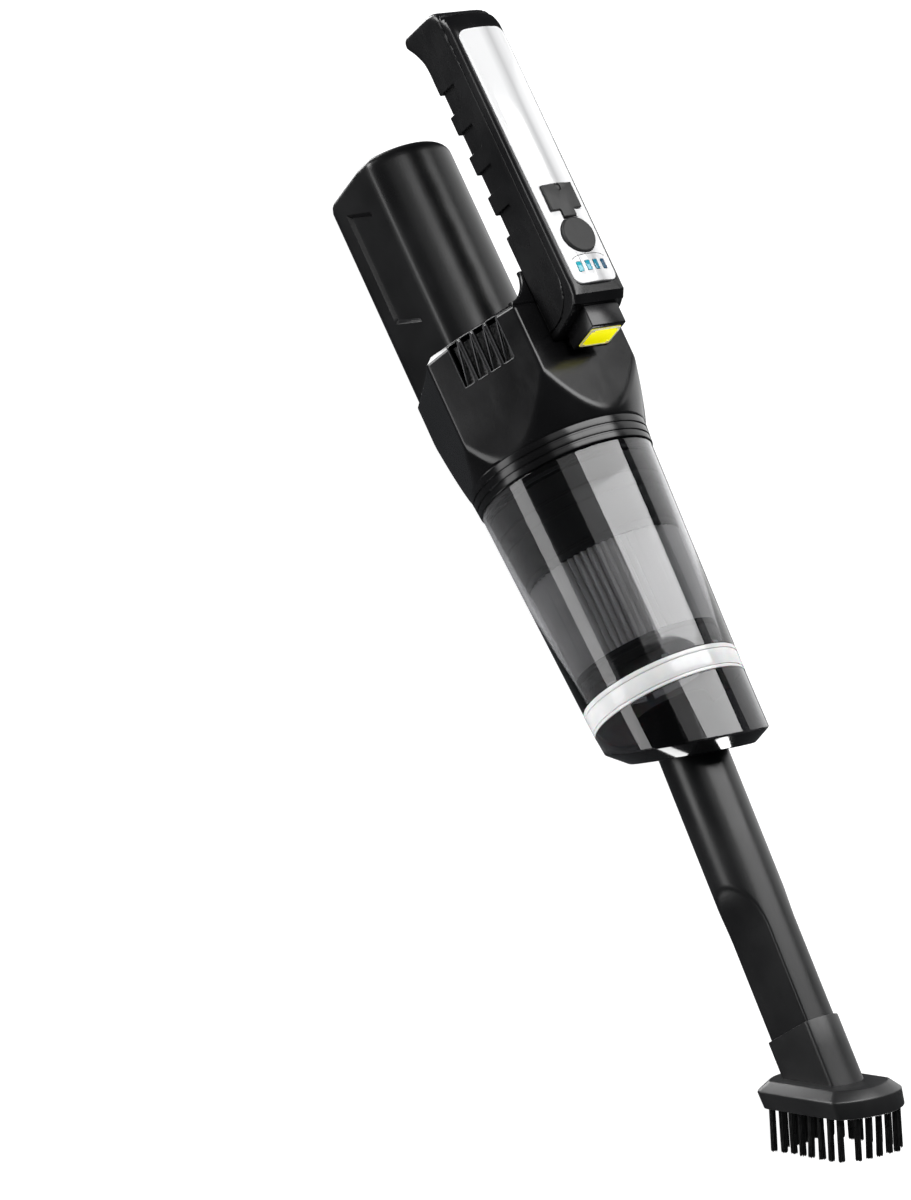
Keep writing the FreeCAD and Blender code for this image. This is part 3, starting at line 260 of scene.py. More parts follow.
plastics = {    # dark and light tone, roughness and its spread, scale and strength of the grain, shine
    "bodyBlack": ((0.0035, 0.0035, 0.0038), (0.0055, 0.0055, 0.006), 0.2, 0.03, 2600, 0.1, 0.36),
    "caseBlack": ((0.0035, 0.0035, 0.0038), (0.0055, 0.0055, 0.006), 0.3, 0.03, 2600, 0.14, 0.36),
    "noseBlack": ((0.0035, 0.0035, 0.0038), (0.0055, 0.0055, 0.006), 0.07, 0.02, 2600, 0.04),
    "trimBlack": ((0.03, 0.03, 0.032), (0.045, 0.045, 0.047), 0.3, 0.05, 2600, 0.1),
    "gripBlack": ((0.004, 0.004, 0.0044), (0.0065, 0.0065, 0.007), 0.25, 0.04, 3000, 0.2, 0.36),
    "innerBlack": ((0.01, 0.01, 0.01), (0.016, 0.016, 0.016), 0.45, 0.05, 2400, 0.2),
    "toolBlack": ((0.005, 0.005, 0.0055), (0.008, 0.008, 0.0085), 0.33, 0.04, 2800, 0.22),
    "brushBlack": ((0.007, 0.007, 0.0075), (0.012, 0.012, 0.0125), 0.36, 0.05, 2200, 0.25),
    "rubberGrey": ((0.011, 0.011, 0.011), (0.018, 0.018, 0.018), 0.55, 0.06, 4200, 0.35),
    "fanGrey": ((0.3, 0.3, 0.31), (0.38, 0.38, 0.39), 0.4, 0.05, 2200, 0.1),
    "cellWrap": ((0.06, 0.2, 0.42), (0.1, 0.26, 0.5), 0.28, 0.05, 900, 0.1),
    "boardGreen": ((0.02, 0.16, 0.07), (0.04, 0.22, 0.1), 0.3, 0.08, 1500, 0.1),
}
finishes = {name: plasticFinish(name, *look) for name, look in plastics.items()}
finishes["panelWhite"] = panelFinish()


def metalFinish(name, dark, light, rough):
    made, tree, shader = startFinish(name, dark, rough, Metallic=1.0)
    streaks = noiseOf(tree, 420, 6, (0.05, 1, 1))
    tree.links.new(rampOf(tree, streaks, [(0.3, dark), (0.7, light)]), shader.inputs["Base Color"])
    tree.links.new(rangeOf(tree, streaks, rough - 0.08, rough + 0.1), shader.inputs["Roughness"])
    bumpOf(tree, shader, streaks, 0.1, 0.00003)
    return made


finishes["steel"] = metalFinish("steel", (0.42, 0.42, 0.44), (0.66, 0.66, 0.68), 0.28)
finishes["copper"] = metalFinish("copper", (0.55, 0.24, 0.12), (0.78, 0.42, 0.24), 0.3)
finishes["magnetGrey"] = metalFinish("magnetGrey", (0.16, 0.16, 0.17), (0.26, 0.26, 0.27), 0.5)


# clear plastic: mould flow lines in its tint and a faint haze
def clearFinish(name, tint, rough, haze):
    made, tree, shader = startFinish(name, tint, rough, IOR=1.49)
    shader.inputs["Transmission Weight"].default_value = 1.0
    flow = noiseOf(tree, 60, 3, (0.3, 1, 1))
    paler = tuple(min(1, value * 1.12) for value in tint)
    tree.links.new(rampOf(tree, flow, [(0.3, tint), (0.7, paler)]), shader.inputs["Base Color"])
    tree.links.new(rangeOf(tree, flow, rough, rough + haze), shader.inputs["Roughness"])
    return made


finishes["clearSmoke"] = clearFinish("clearSmoke", (0.42, 0.42, 0.43), 0.015, 0.03)
finishes["darkSmoke"] = clearFinish("darkSmoke", (0.1, 0.1, 0.105), 0.015, 0.03)
finishes["lightWindow"] = clearFinish("lightWindow", (0.82, 0.9, 0.93), 0.08, 0.05)


def frostFinish():
    made, tree, shader = startFinish("frostWhite", (0.86, 0.865, 0.87), 0.16, IOR=1.49)
    shader.inputs["Transmission Weight"].default_value = 0.25
    shader.inputs["Subsurface Weight"].default_value = 0.2
    shader.inputs["Subsurface Scale"].default_value = 0.002
    cloud = noiseOf(tree, 90, 4)
    tree.links.new(rampOf(tree, cloud, [(0.3, (0.8, 0.805, 0.81)), (0.7, (0.9, 0.9, 0.9))]),
                   shader.inputs["Base Color"])
    tree.links.new(rangeOf(tree, cloud, 0.1, 0.24), shader.inputs["Roughness"])
    return made


finishes["frostWhite"] = frostFinish()


# the charge bars run from teal at one end to navy at the other
def barFinish():
    made, tree, shader = startFinish("chargeBars", (0.02, 0.3, 0.4), 0.12)
    along = rangeOf(tree, sideOf(tree), 0, 1, -0.0076, 0.0076)
    teal, blue, navy = (0.03, 0.42, 0.5), (0.02, 0.3, 0.42), (0.008, 0.03, 0.09)
    tint = rampOf(tree, along, [(0.0, teal), (0.45, blue), (1.0, navy)])
    tree.links.new(tint, shader.inputs["Base Color"])
    tree.links.new(rangeOf(tree, noiseOf(tree, 400), 0.08, 0.18), shader.inputs["Roughness"])
    return made


finishes["chargeBars"] = barFinish()


def lampFinish():
    made, tree, shader = startFinish("lampYellow", (1.0, 0.93, 0.0), 0.18, Emission_Strength=0.55)
    shader.inputs["Emission Color"].default_value = (1.0, 0.95, 0.0, 1)
    dots = cellsOf(tree, 620.0, 0.1)
    tint = rampOf(tree, dots, [(0.1, (1.0, 0.95, 0.0)), (0.6, (0.98, 0.88, 0.0))])
    tree.links.new(tint, shader.inputs["Base Color"])
    bumpOf(tree, shader, dots, 0.1, 0.00005)
    return made


finishes["lampYellow"] = lampFinish()


def paperFinish():
    made, tree, shader = startFinish("pleatPaper", (0.5, 0.5, 0.49), 0.8)
    fibres = noiseOf(tree, 900, 8, (0.4, 1, 1))
    dust = noiseOf(tree, 55, 4)
    tree.links.new(rampOf(tree, dust, [(0.3, (0.84, 0.84, 0.83)), (0.75, (0.93, 0.93, 0.92))]),
                   shader.inputs["Base Color"])
    tree.links.new(rangeOf(tree, fibres, 0.7, 0.9), shader.inputs["Roughness"])
    bumpOf(tree, shader, fibres, 0.5, 0.00012)
    return made


def foamFinish():
    made, tree, shader = startFinish("foamGrey", (0.06, 0.06, 0.06), 0.9)
    cells = cellsOf(tree, 900.0)
    tree.links.new(rampOf(tree, cells, [(0.1, (0.02, 0.02, 0.02)), (0.6, (0.12, 0.12, 0.12))]),
                   shader.inputs["Base Color"])
    bumpOf(tree, shader, cells, 0.8, 0.0003)
    return made


def bristleFinish():
    made, tree, shader = startFinish("bristleBlack", (0.004, 0.004, 0.004), 0.32)
    fine = noiseOf(tree, 700, 4, (1, 1, 0.2))
    tree.links.new(rampOf(tree, fine, [(0.3, (0.003, 0.003, 0.003)), (0.7, (0.01, 0.01, 0.01))]),
                   shader.inputs["Base Color"])
    tree.links.new(rangeOf(tree, fine, 0.26, 0.42), shader.inputs["Roughness"])
    return made


finishes["pleatPaper"] = paperFinish()
finishes["foamGrey"] = foamFinish()
finishes["bristleBlack"] = bristleFinish()

# inner pieces keep their own shape and take the finish of their slot
slotFinishes = {
    "body_black": "bodyBlack", "grip_black": "gripBlack", "inner_black": "innerBlack",
    "tool_black": "toolBlack", "panel_white": "panelWhite", "rubber_grey": "rubberGrey",
    "clear_smoke": "clearSmoke", "clear_white": "frostWhite", "indicator": "chargeBars",
    "lamp_yellow": "lampYellow", "pleat_grey": "pleatPaper", "foam_grey": "foamGrey",
    "bristle": "bristleBlack", "steel": "steel", "copper": "copper", "magnet_grey": "magnetGrey",
    "fan_grey": "fanGrey", "cell_wrap": "cellWrap", "board_green": "boardGreen",
}
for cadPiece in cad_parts.values():
    for place in cadPiece.material_slots:
        key = place.material.name.split(".")[0] if place.material else "inner_black"
        place.material = finishes[slotFinishes.get(key, "innerBlack")]
print("finishes ready")


# mesh helpers

def addPiece(name, points, faces, finish, body, nodes=(), sharp=32):
    mesh = bpy.data.meshes.new(name)
    mesh.from_pydata(((np.asarray(points).reshape(-1, 3) + axisPoint) * mm).tolist(), [], faces)
    finishPiece(mesh, sharp)
    made = bpy.data.objects.new(name, mesh)
    scene.collection.objects.link(made)
    if finish:
        mesh.materials.append(finishes[finish])
    if body:
        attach(made, body)
        if nodes:
            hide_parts(*nodes)
    return made


def finishPiece(mesh, sharp):
    work = bmesh.new()
    work.from_mesh(mesh)
    bmesh.ops.recalc_face_normals(work, faces=work.faces)
    work.to_mesh(mesh)
    work.free()
    mesh.shade_smooth()
    mesh.set_sharp_from_angle(angle=math.radians(sharp))
    mesh.update()


# faces between rings of points; joined closes the list of rings, capped fills its two ends
def ringFaces(rings, around, joined, capped, offset=0, closedAround=True):
    faces = []
    spans = rings if joined else rings - 1
    steps = around if closedAround else around - 1
    for ring in range(spans):
        one, two = ring * around, (ring + 1) % rings * around
        for step in range(steps):
            ahead = (step + 1) % around
            faces.append((offset + one + step, offset + one + ahead, offset + two + ahead, offset + two + step))
    if capped:
        faces.append([offset + step for step in range(around)][::-1])
        faces.append([offset + (rings - 1) * around + step for step in range(around)])
    return faces


# values from stop to stop: each stop after the first is (value, pitch)
def stations(*stops):
    values = [stops[0]]
    for value, pitch in stops[1:]:
        count = max(1, round(abs(value - values[-1]) / pitch))
        values += list(np.linspace(values[-1], value, count + 1)[1:])
    return np.array(values)


# below 0 where both fields are, with the edge between them rounded
def roundMax(one, two, radius):
    u, v = np.maximum(one + radius, 0), np.maximum(two + radius, 0)
    return np.minimum(-radius, np.maximum(one, two)) + np.hypot(u, v)


# how far each ray runs before it leaves the field
def reachField(field, starts, ways, far):
    low = np.zeros(starts.shape[:-1])
    high = np.full_like(low, far)
    for _ in range(26):
        half = (low + high) / 2
        spots = starts + ways * half[..., None]
        inside = field(spots[..., 0], spots[..., 1], spots[..., 2]) < 0
        low = np.where(inside, half, low)
        high = np.where(inside, high, half)
    return starts + ways * low[..., None]


# one ring for each (x, z, tilt) of the spine, square to it
def castRings(field, spine, angles, far=80):
    spine = np.asarray(spine, float)
    starts = np.zeros((len(spine), len(angles), 3))
    starts[..., 0], starts[..., 2] = spine[:, :1], spine[:, 1:2]
    tilt = spine[:, 2:3]
    ways = np.stack([-np.sin(tilt) * np.sin(angles), np.broadcast_to(np.cos(angles), starts.shape[:2]),
                     np.cos(tilt) * np.sin(angles)], axis=-1)
    return reachField(field, starts, ways, far)


# rings over an end: from points inside the last ring straight along the way
def castEnd(field, ring, centre, way, shares, far=40):
    starts = np.asarray(centre) + (ring - centre)[None] * np.asarray(shares)[:, None, None]
    ways = np.broadcast_to(np.asarray(way, float), starts.shape)
    return reachField(field, starts, ways, far)


# angles round a section, closer together where it bends
def spreadAngles(field, spot, pitch, turn=0.16, first=-math.pi / 2):
    fine = first + np.linspace(0, 2 * math.pi, 2881)
    ring = castRings(field, [spot], fine)[0]
    steps = np.diff(ring, axis=0)
    length = np.linalg.norm(steps, axis=1)
    unit = steps / np.maximum(length, 1e-9)[:, None]
    bend = np.linalg.norm(np.roll(unit, -1, axis=0) - unit, axis=1)
    measure = np.concatenate([[0], np.cumsum(length / pitch + np.minimum(bend, 0.5) / turn)])
    count = int(measure[-1]) // 2 * 2
    return np.interp(np.arange(count) * measure[-1] / count, measure, fine)


# a closed outline with its corners rounded
def roundedLoop(points, radii, steps=4):
    loop = []
    if not hasattr(radii, "__len__"):
        radii = [radii] * len(points)
    for index, (corner, radius) in enumerate(zip(points, radii)):
        here = np.array(corner, float)
        before = np.array(points[index - 1], float) - here
        after = np.array(points[(index + 1) % len(points)], float) - here
        reach = min(radius, np.linalg.norm(before) * 0.48, np.linalg.norm(after) * 0.48)
        if reach < 1e-3:
            loop.append(here)
            continue
        one, two = before / np.linalg.norm(before) * reach, after / np.linalg.norm(after) * reach
        for share in np.linspace(0, 1, steps + 1):
            loop.append(here + one * (1 - share) ** 2 + two * share ** 2)
    return np.array(loop)


# an (x, radius) outline turned about the axis; shape may move the points
def turnedRings(loop, around=128, shape=None):
    angles = np.linspace(0, 2 * math.pi, around, endpoint=False)
    rings = np.zeros((len(loop), around, 3))
    rings[..., 0] = loop[:, :1]
    rings[..., 1] = loop[:, 1:2] * np.cos(angles)
    rings[..., 2] = loop[:, 1:2] * np.sin(angles)
    return shape(rings) if shape else rings


def addTurned(name, points, radii, finish, body, nodes, around=128, shape=None, steps=4):
    loop = roundedLoop(points, radii, steps)
    rings = turnedRings(loop, around, shape)
    return addPiece(name, rings, ringFaces(len(loop), around, True, False), finish, body, nodes)


# cut the tools away from a piece, or add them to it
def carve(target, tools, mode="DIFFERENCE"):
    points, faces = [], []
    for rings in tools:
        count, around = rings.shape[:2]
        faces += ringFaces(count, around, False, True, offset=sum(len(part) for part in points))
        points.append(rings.reshape(-1, 3))
    tool = addPiece("tool", np.concatenate(points), faces, None, None)
    change = target.modifiers.new("carve", "BOOLEAN")
    change.operation = mode
    change.solver = "EXACT"
    change.object = tool
    settle(target)
    bpy.data.objects.remove(tool)
    return target


# apply the modifiers
def settle(target):
    graph = bpy.context.evaluated_depsgraph_get()
    fresh = bpy.data.meshes.new_from_object(target.evaluated_get(graph))
    old = target.data
    target.modifiers.clear()
    target.data = fresh
    fresh.name = target.name
    bpy.data.meshes.remove(old)
    fresh.shade_smooth()
    fresh.set_sharp_from_angle(angle=math.radians(32))


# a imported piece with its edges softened
def fromCad(cadName, name, finish, body, width, steps, angle, slotName):
    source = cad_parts[cadName].data
    mesh = source.copy()
    mesh.name = name
    work = bmesh.new()
    work.from_mesh(mesh)
    bmesh.ops.remove_doubles(work, verts=work.verts, dist=2e-6)
    bmesh.ops.dissolve_limit(work, angle_limit=math.radians(0.6), verts=work.verts, edges=work.edges)
    work.to_mesh(mesh)
    work.free()
    mesh.materials.clear()
    mesh.materials.append(finishes[finish])
    made = bpy.data.objects.new(name, mesh)
    scene.collection.objects.link(made)
    soft = made.modifiers.new("soft", "BEVEL")
    soft.width = width * mm
    soft.segments = steps
    soft.limit_method = "ANGLE"
    soft.angle_limit = math.radians(angle)
    soft.use_clamp_overlap = False
    soft.miter_outer = "MITER_ARC"
    settle(made)
    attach(made, body)
    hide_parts(cadName)


# motor housing

housingSize = {
    "rear": -66.5, "front": -10.0, "lastRing": -65.8, "edge": 0.8, "rimChamfer": 2.2, "skin": 2.4,
    "top": (26.0, 41.5), "ridge": (44.0, -2.0), "low": (23.0, -40.0),
    "coneFront": 40.3, "coneRear": 58.4, "coneLength": 65.0, "coneLift": 6.8,
}
caseSize = {
    "half": 23.5, "low": -40.0, "shoulder": -5.7, "crown": 27.0, "rear": -163.0, "front": -60.0,
    "edge": 5.0, "skin": 2.4,
}


# distance beyond the plane through two corners of the section, on either side
def facetPlane(y, z, one, two):
    run, rise = two[0] - one[0], two[1] - one[1]
    length = math.hypot(run, rise)
    return (-rise * (np.abs(y) - one[0]) + run * (z - one[1])) / length


def housingSkin(x, y, z, inset=0.0):
    size = housingSize
    edge = size["edge"]
    upper = facetPlane(y, z, size["top"], size["ridge"]) + inset
    lower = facetPlane(y, z, size["ridge"], size["low"]) + inset
    form = roundMax(upper, lower, edge)
    form = roundMax(form, z - size["top"][1] + inset, edge)
    form = roundMax(form, size["low"][1] - z + inset, edge)
    share = (size["front"] - x) / size["coneLength"]
    radius = size["coneFront"] + (size["coneRear"] - size["coneFront"]) * share
    cone = (np.hypot(y, z - size["coneLift"] * share) - radius) * 0.963 + inset
    return roundMax(form, cone, edge)


def housingField(x, y, z):
    size = housingSize
    skin = housingSkin(x, y, z)
    rear = size["rear"] - x
    wider = 3.6 * np.clip((14 - z) / 30, 0, 1)
    rim = (skin + rear + size["rimChamfer"] + wider) / math.sqrt(2)
    return roundMax(roundMax(skin, rim, 0.5), np.maximum(rear, x - size["front"]), 0.4)


def caseSection(y, z, inset=0.0):
    size = caseSize
    centre = size["shoulder"] - math.sqrt(size["crown"] ** 2 - size["half"] ** 2)
    crown = np.hypot(y, np.maximum(z - centre, 0)) - size["crown"] + inset
    side = np.abs(y) - size["half"] + inset
    floor = size["low"] - z + inset
    slope = (side * math.cos(0.26) + (z - size["shoulder"]) * math.sin(0.26)) + 0.25
    upper = roundMax(roundMax(crown, side, 0.5), slope, 0.5)
    return roundMax(upper, floor, max(0.3, size["edge"] - inset))


def innerField(x, y, z):
    return housingSkin(x, y, z, inset=housingSize["skin"])


def alongAxis(places):
    return [(x, 0, 0) for x in places]


# the shell's rings run from the front edge over the outside, close at the rear and come back inside
def housingRings():
    size = housingSize
    front, rear, last = size["front"], size["rear"], size["lastRing"]
    places = stations(front - 0.35, (-40, 0.75), (-59.5, 0.85), (last, 0.35))
    outer = castRings(housingField, alongAxis(places), housingAngles)
    rim = castEnd(housingField, outer[-1], (last, 0, 0), (-1, 0, 0),
                  [0.99, 0.98, 0.97, 0.962, 0.954, 0.947, 0.94, 0.93])
    wall = [rim[-1] * (1 - share) for share in (0.35, 0.7, 1.0)]    # ends at the axis, inside the battery case
    for ring in wall:
        ring[:, 0] = rear
    wallInside = np.zeros_like(rim[-1]) + (rear + size["skin"], 0, 0)
    inner = castRings(innerField, alongAxis(stations(rear + size["skin"], (-12.0, 3.2))), housingAngles)
    innerFront = castRings(innerField, alongAxis([front]), housingAngles)
    outerFront = castRings(housingSkin, alongAxis([front]), housingAngles)
    outerFront[..., 1:] *= 0.994
    return np.concatenate([outerFront, outer, rim, wall, [wallInside], inner, innerFront])


housingAngles = spreadAngles(housingField, (-50, 0, 0), 0.95, 0.2)
shellRings = housingRings()

rootSize = {"rear": -80.0, "half": 14.0, "sweep": 14.0, "meet": (-66.6, 26.0), "front": -64.5}


# points of an arc from start to end, its centre on the left or right of the way
def arcBetween(start, end, radius, steps, leftward):
    start, end = np.array(start, float), np.array(end, float)
    half = (end - start) / 2
    rise = math.sqrt(radius ** 2 - half @ half)
    side = np.array([-half[1], half[0]]) / np.linalg.norm(half) * (rise if leftward else -rise)
    centre = start + half + side
    first = math.atan2(*(start - centre)[::-1])
    last = math.atan2(*(end - centre)[::-1])
    swing = (last - first + math.pi) % (2 * math.pi) - math.pi
    turns = first + swing * np.linspace(0, 1, steps + 1)
    return centre + radius * np.column_stack([np.cos(turns), np.sin(turns)])


# half of the plate that carries the handle, seen from above
def rootOutline(side):
    size = rootSize
    meet = (size["meet"][0], size["meet"][1] * side)
    sweep = arcBetween((size["rear"], size["half"] * side), meet, size["sweep"], 10, side > 0)
    return np.concatenate([sweep, [(size["front"], meet[1])]])


ventSize = {"count": 4, "rear": -65.0, "length": 20.0, "width": 5.4, "pitch": 6.8, "lift": 1.2, "lip": 0.26}
topEdge = np.array([0, *housingSize["top"]])
ridgeEdge = np.array([0, *housingSize["ridge"]])
facetMiddle = (topEdge + ridgeEdge) / 2
facetRise = (topEdge - ridgeEdge) / np.linalg.norm(topEdge - ridgeEdge)
facetOut = np.array([0, facetRise[2], -facetRise[1]])


# a point on the upper side facet
def onFacet(ahead, up, out, side):
    spot = facetMiddle + facetRise * up + facetOut * out + np.array([ahead, 0, 0])
    return spot * (1, side, 1)


# the lower edge of each vent slot, up the facet
def slotLows():
    size = ventSize
    first = (1 - size["count"]) / 2 * size["pitch"] - size["width"] / 2 + size["lift"]
    return [first + index * size["pitch"] for index in range(size["count"])]


def slotLoop(low):
    rear, high = ventSize["rear"], low + ventSize["width"]
    front = rear + ventSize["length"]
    return roundedLoop([(rear, low), (front, low), (front, high), (rear, high)], 0.6, 3)


def facetRings(loop, outs, side):
    rings = np.array([[onFacet(a, b, out, side) for a, b in loop] for out in outs])
    return rings if side < 0 else rings[:, ::-1]


# a closed loop of round beading along a path in a plane
def tubeRings(path, radius, up, sides=8, flat=1.0):
    path = np.asarray(path)
    ahead = np.roll(path, -1, axis=0) - np.roll(path, 1, axis=0)
    ahead /= np.linalg.norm(ahead, axis=1)[:, None]
    outward = np.cross(ahead, up)
    turns = np.linspace(0, 2 * math.pi, sides, endpoint=False)
    return (path[:, None] + radius * (outward[:, None] * np.cos(turns)[:, None]
                                      + np.asarray(up) * np.sin(turns)[:, None] * flat))


def joinMeshes(name, parts, finish, body, nodes=(), sharp=32):
    points, faces, count = [], [], 0
    for rings, joined, capped in parts:
        shape = rings.shape[:2]
        faces += ringFaces(shape[0], shape[1], joined, capped, offset=count)
        points.append(rings.reshape(-1, 3))
        count += shape[0] * shape[1]
    return addPiece(name, np.concatenate(points), faces, finish, body, nodes, sharp)


def buildHousing(side, name, cadName):
    across, rise = np.cos(housingAngles), np.sin(housingAngles)
    chosen = np.nonzero(across * side > 1e-6)[0]
    ends = [np.argmin(np.abs(across) + (rise * side > 0) * 9), np.argmin(np.abs(across) + (rise * side < 0) * 9)]
    columns = list(dict.fromkeys([ends[0], *chosen, ends[1]]))
    half = shellRings[:, columns].copy()
    half[:, 0, 1] = half[:, -1, 1] = 0
    rings, around = half.shape[:2]
    faces = ringFaces(rings, around, True, False, closedAround=False)
    faces.append([ring * around for ring in range(rings)])
    faces.append([ring * around + around - 1 for ring in range(rings)][::-1])
    made = addPiece(name, half, faces, "bodyBlack", "housing", [cadName])
    carve(made, [facetRings(slotLoop(low), (-4.5, 1.5), side) for low in slotLows()])


def buildHousingHalves():
    buildHousing(-1, "housingLeft", "housing_left")
    buildHousing(1, "housingRight", "housing_right")


buildHousingHalves()


# the lips and the slanted louvres of the vents
def ventTrim(side, name):
    size = ventSize
    out = facetOut * (1, side, 1)
    section = roundedLoop([(-0.28, -1.1), (0.28, -1.1), (0.28, 0.35), (-0.28, 0.35)], 0.14, 2)
    parts = []
    for low in slotLows():
        path = np.array([onFacet(a, b, 0.0, side) for a, b in slotLoop(low)])
        parts.append((tubeRings(path, size["lip"], out), True, False))
        start = onFacet(size["rear"] - 0.3, low + size["width"] - 0.6, -1.5, side)
        end = onFacet(size["rear"] + size["length"] + 0.3, low + 0.6, -1.5, side)
        across = np.cross((end - start) / np.linalg.norm(end - start), out)
        bar = [[spot + across * a + out * b for a, b in section] for spot in (start, (start + end) / 2, end)]
        parts.append((np.array(bar), False, True))
    joinMeshes(name, parts, "trimBlack", "housing", ())


ventTrim(-1, "ventTrimLeft")
ventTrim(1, "ventTrimRight")


# the swept plate between the housing and the handle, in one piece on top of the shell
def buildRoot():
    outline = np.concatenate([rootOutline(1), rootOutline(-1)[::-1]])
    centre = outline.mean(axis=0)
    ahead = np.roll(outline, -1, axis=0) - np.roll(outline, 1, axis=0)
    inward = np.column_stack([ahead[:, 1], -ahead[:, 0]]) / np.linalg.norm(ahead, axis=1)[:, None]
    if ((centre - outline) * inward).sum() < 0:
        inward = -inward
    rings = []
    for level, inset in ((38.5, 0.4), (38.9, 0.0), (40.2, 0.0), (40.9, 0.18), (41.3, 0.55), (41.48, 1.1)):
        rings.append(np.column_stack([outline + inward * inset, np.full(len(outline), level)]))
    joinMeshes("handleRoot", [(np.array(rings), False, True)], "bodyBlack", "housing", ())


buildRoot()
print("motor housing made")


# battery case

def caseField(x, y, z):
    size = caseSize
    lean = np.maximum(-14 - z, 0) * 4 / 26
    rear = (size["rear"] + lean) - x
    return np.maximum(roundMax(caseSection(y, z), rear, size["edge"]), x - size["front"])


def caseInner(x, y, z):
    size = caseSize
    return roundMax(caseSection(y, z, size["skin"]), size["rear"] + size["skin"] + 4 - x, 2.5)


recess = {"outline": [(-149.4, -30.0), (-95.8, -30.0), (-88.5, -14.6), (-142.7, -15.5)], "deep": 1.6}


def buildCase():
    front, outerLast, innerLast, level = -60.2, -157, -153, -17.0
    angles = spreadAngles(caseField, (-100, level, 0), 1.1, 0.2)

    def spineTo(last, pitch):
        return [(x, level, 0) for x in stations(front, (last, pitch))]

    outer = castRings(caseField, spineTo(outerLast, 2.4), angles)
    shares = [0.998, 0.99, 0.98, 0.965, 0.945, 0.92, 0.895, 0.865, 0.835, 0.8, 0.77, 0.72, 0.6, 0.4, 0.2, 0.04]
    end = castEnd(caseField, outer[-1], (outerLast, 0, level), (-1, 0, 0), shares)
    inner = castRings(caseInner, spineTo(innerLast, 6.0), angles)
    back = castEnd(caseInner, inner[-1], (innerLast, 0, level), (-1, 0, 0), [0.97, 0.9, 0.8, 0.5, 0.04])
    rings = np.concatenate([back[::-1], inner[::-1], outer, end])
    faces = ringFaces(len(rings), len(angles), False, True)
    made = addPiece("batteryCase", rings, faces, "caseBlack", "housing", ["battery_case"])
    outline = roundedLoop(recess["outline"], 1.0, 3)
    centre = outline.mean(axis=0)
    half = caseSize["half"]
    tools = []
    for side in (-1, 1):
        rings = []
        for level, share in ((half - recess["deep"], 0.93), (half + 0.01, 1.0), (half + 0.4, 1.015)):
            flat = centre + (outline - centre) * (share, 1 - (1 - share) * 2.0)
            rings.append(np.column_stack([flat[:, 0], np.full(len(flat), level * side), flat[:, 1]]))
        tools.append(np.array(rings))
    carve(made, tools)


buildCase()
print("battery case made")


# handle

handleSize = {
    "top": 65.5, "half": 14.0, "under": 41.5, "parting": 60.4, "partingFront": -49.8, "partingRound": 17.0,
    "notchFirst": -164.0, "notchPitch": 19.4, "notchLength": 10.7, "notchDeep": 1.5, "notchHigh": 51.5,
    "seam": 0.32, "planRound": 10.0,
}


def handleForm(x, y, z):
    size = handleSize
    front = 0.96 * (x + 45) + 0.28 * (z - size["under"])
    rear = -0.99 * (x + 199) + 0.141 * (z - 36.5)
    hook = np.where(x < -171, 32 - np.hypot(x + 171, z - 9.5), size["under"] - z)
    tip = (34.5 - z - (x + 191) * 0.1786) * 0.984
    form = roundMax(z - size["top"], rear, 14.0)
    form = roundMax(form, front, 1.2)
    form = np.maximum(form, hook)
    form = roundMax(form, tip, 1.0)
    upper = np.clip((z - 58.5) / 2.5, 0, 1)
    behind = np.clip((-172 - x) / 8, 0, 1)
    soft = 0.9 + 1.4 * np.maximum(upper, behind)
    plan = roundMax(np.abs(y) - size["half"] - 1, -(x + 199.2), size["planRound"])
    return roundMax(form, roundMax(np.abs(y) - size["half"], plan, 0.6), soft)


def notchField(x, y, z):
    size = handleSize
    count = np.clip(np.round((x - size["notchFirst"] - size["notchLength"] / 2) / size["notchPitch"]), 0, 3)
    centre = size["notchFirst"] + size["notchLength"] / 2 + count * size["notchPitch"]
    depth = np.minimum(size["half"] - size["notchDeep"] - np.abs(y), z - size["under"] - size["notchDeep"])
    return np.maximum(np.maximum(np.abs(x - centre) - size["notchLength"] / 2, z - size["notchHigh"]), depth)


def gripZone(x, z):
    size = handleSize
    return roundMax(z - size["parting"], x - size["partingFront"], size["partingRound"])


def gripField(x, y, z):
    return roundMax(roundMax(handleForm(x, y, z), gripZone(x, z) + 0.03, handleSize["seam"]),
                    -notchField(x, y, z), 0.4)


def coverField(x, y, z):
    return roundMax(handleForm(x, y, z), -gripZone(x, z) + 0.03, handleSize["seam"])


# a block between two corners
def boxRings(low, high, soft):
    outline = roundedLoop([(low[0], low[1]), (high[0], low[1]), (high[0], high[1]), (low[0], high[1])], soft, 3)
    return liftRings(outline, (low[2], high[2]))


# an (x, y) outline at each level
def liftRings(outline, levels):
    return np.array([np.column_stack([outline, np.full(len(outline), level)]) for level in levels])


def rodRings(x, radius, low, high, around=32):
    turns = np.linspace(0, 2 * math.pi, around, endpoint=False)
    return liftRings(np.column_stack([x + radius * np.cos(turns), radius * np.sin(turns)]), (low, high))


# the panel's outline, grown by more
def panelOutline(more):
    points = [(-181.3 - more, -12.6 - more), (-58.6 + more, -11.6 - more),
              (-58.6 + more, 11.6 + more), (-181.3 - more, 12.6 + more)]
    return roundedLoop(points, 4.0 + more, 8)


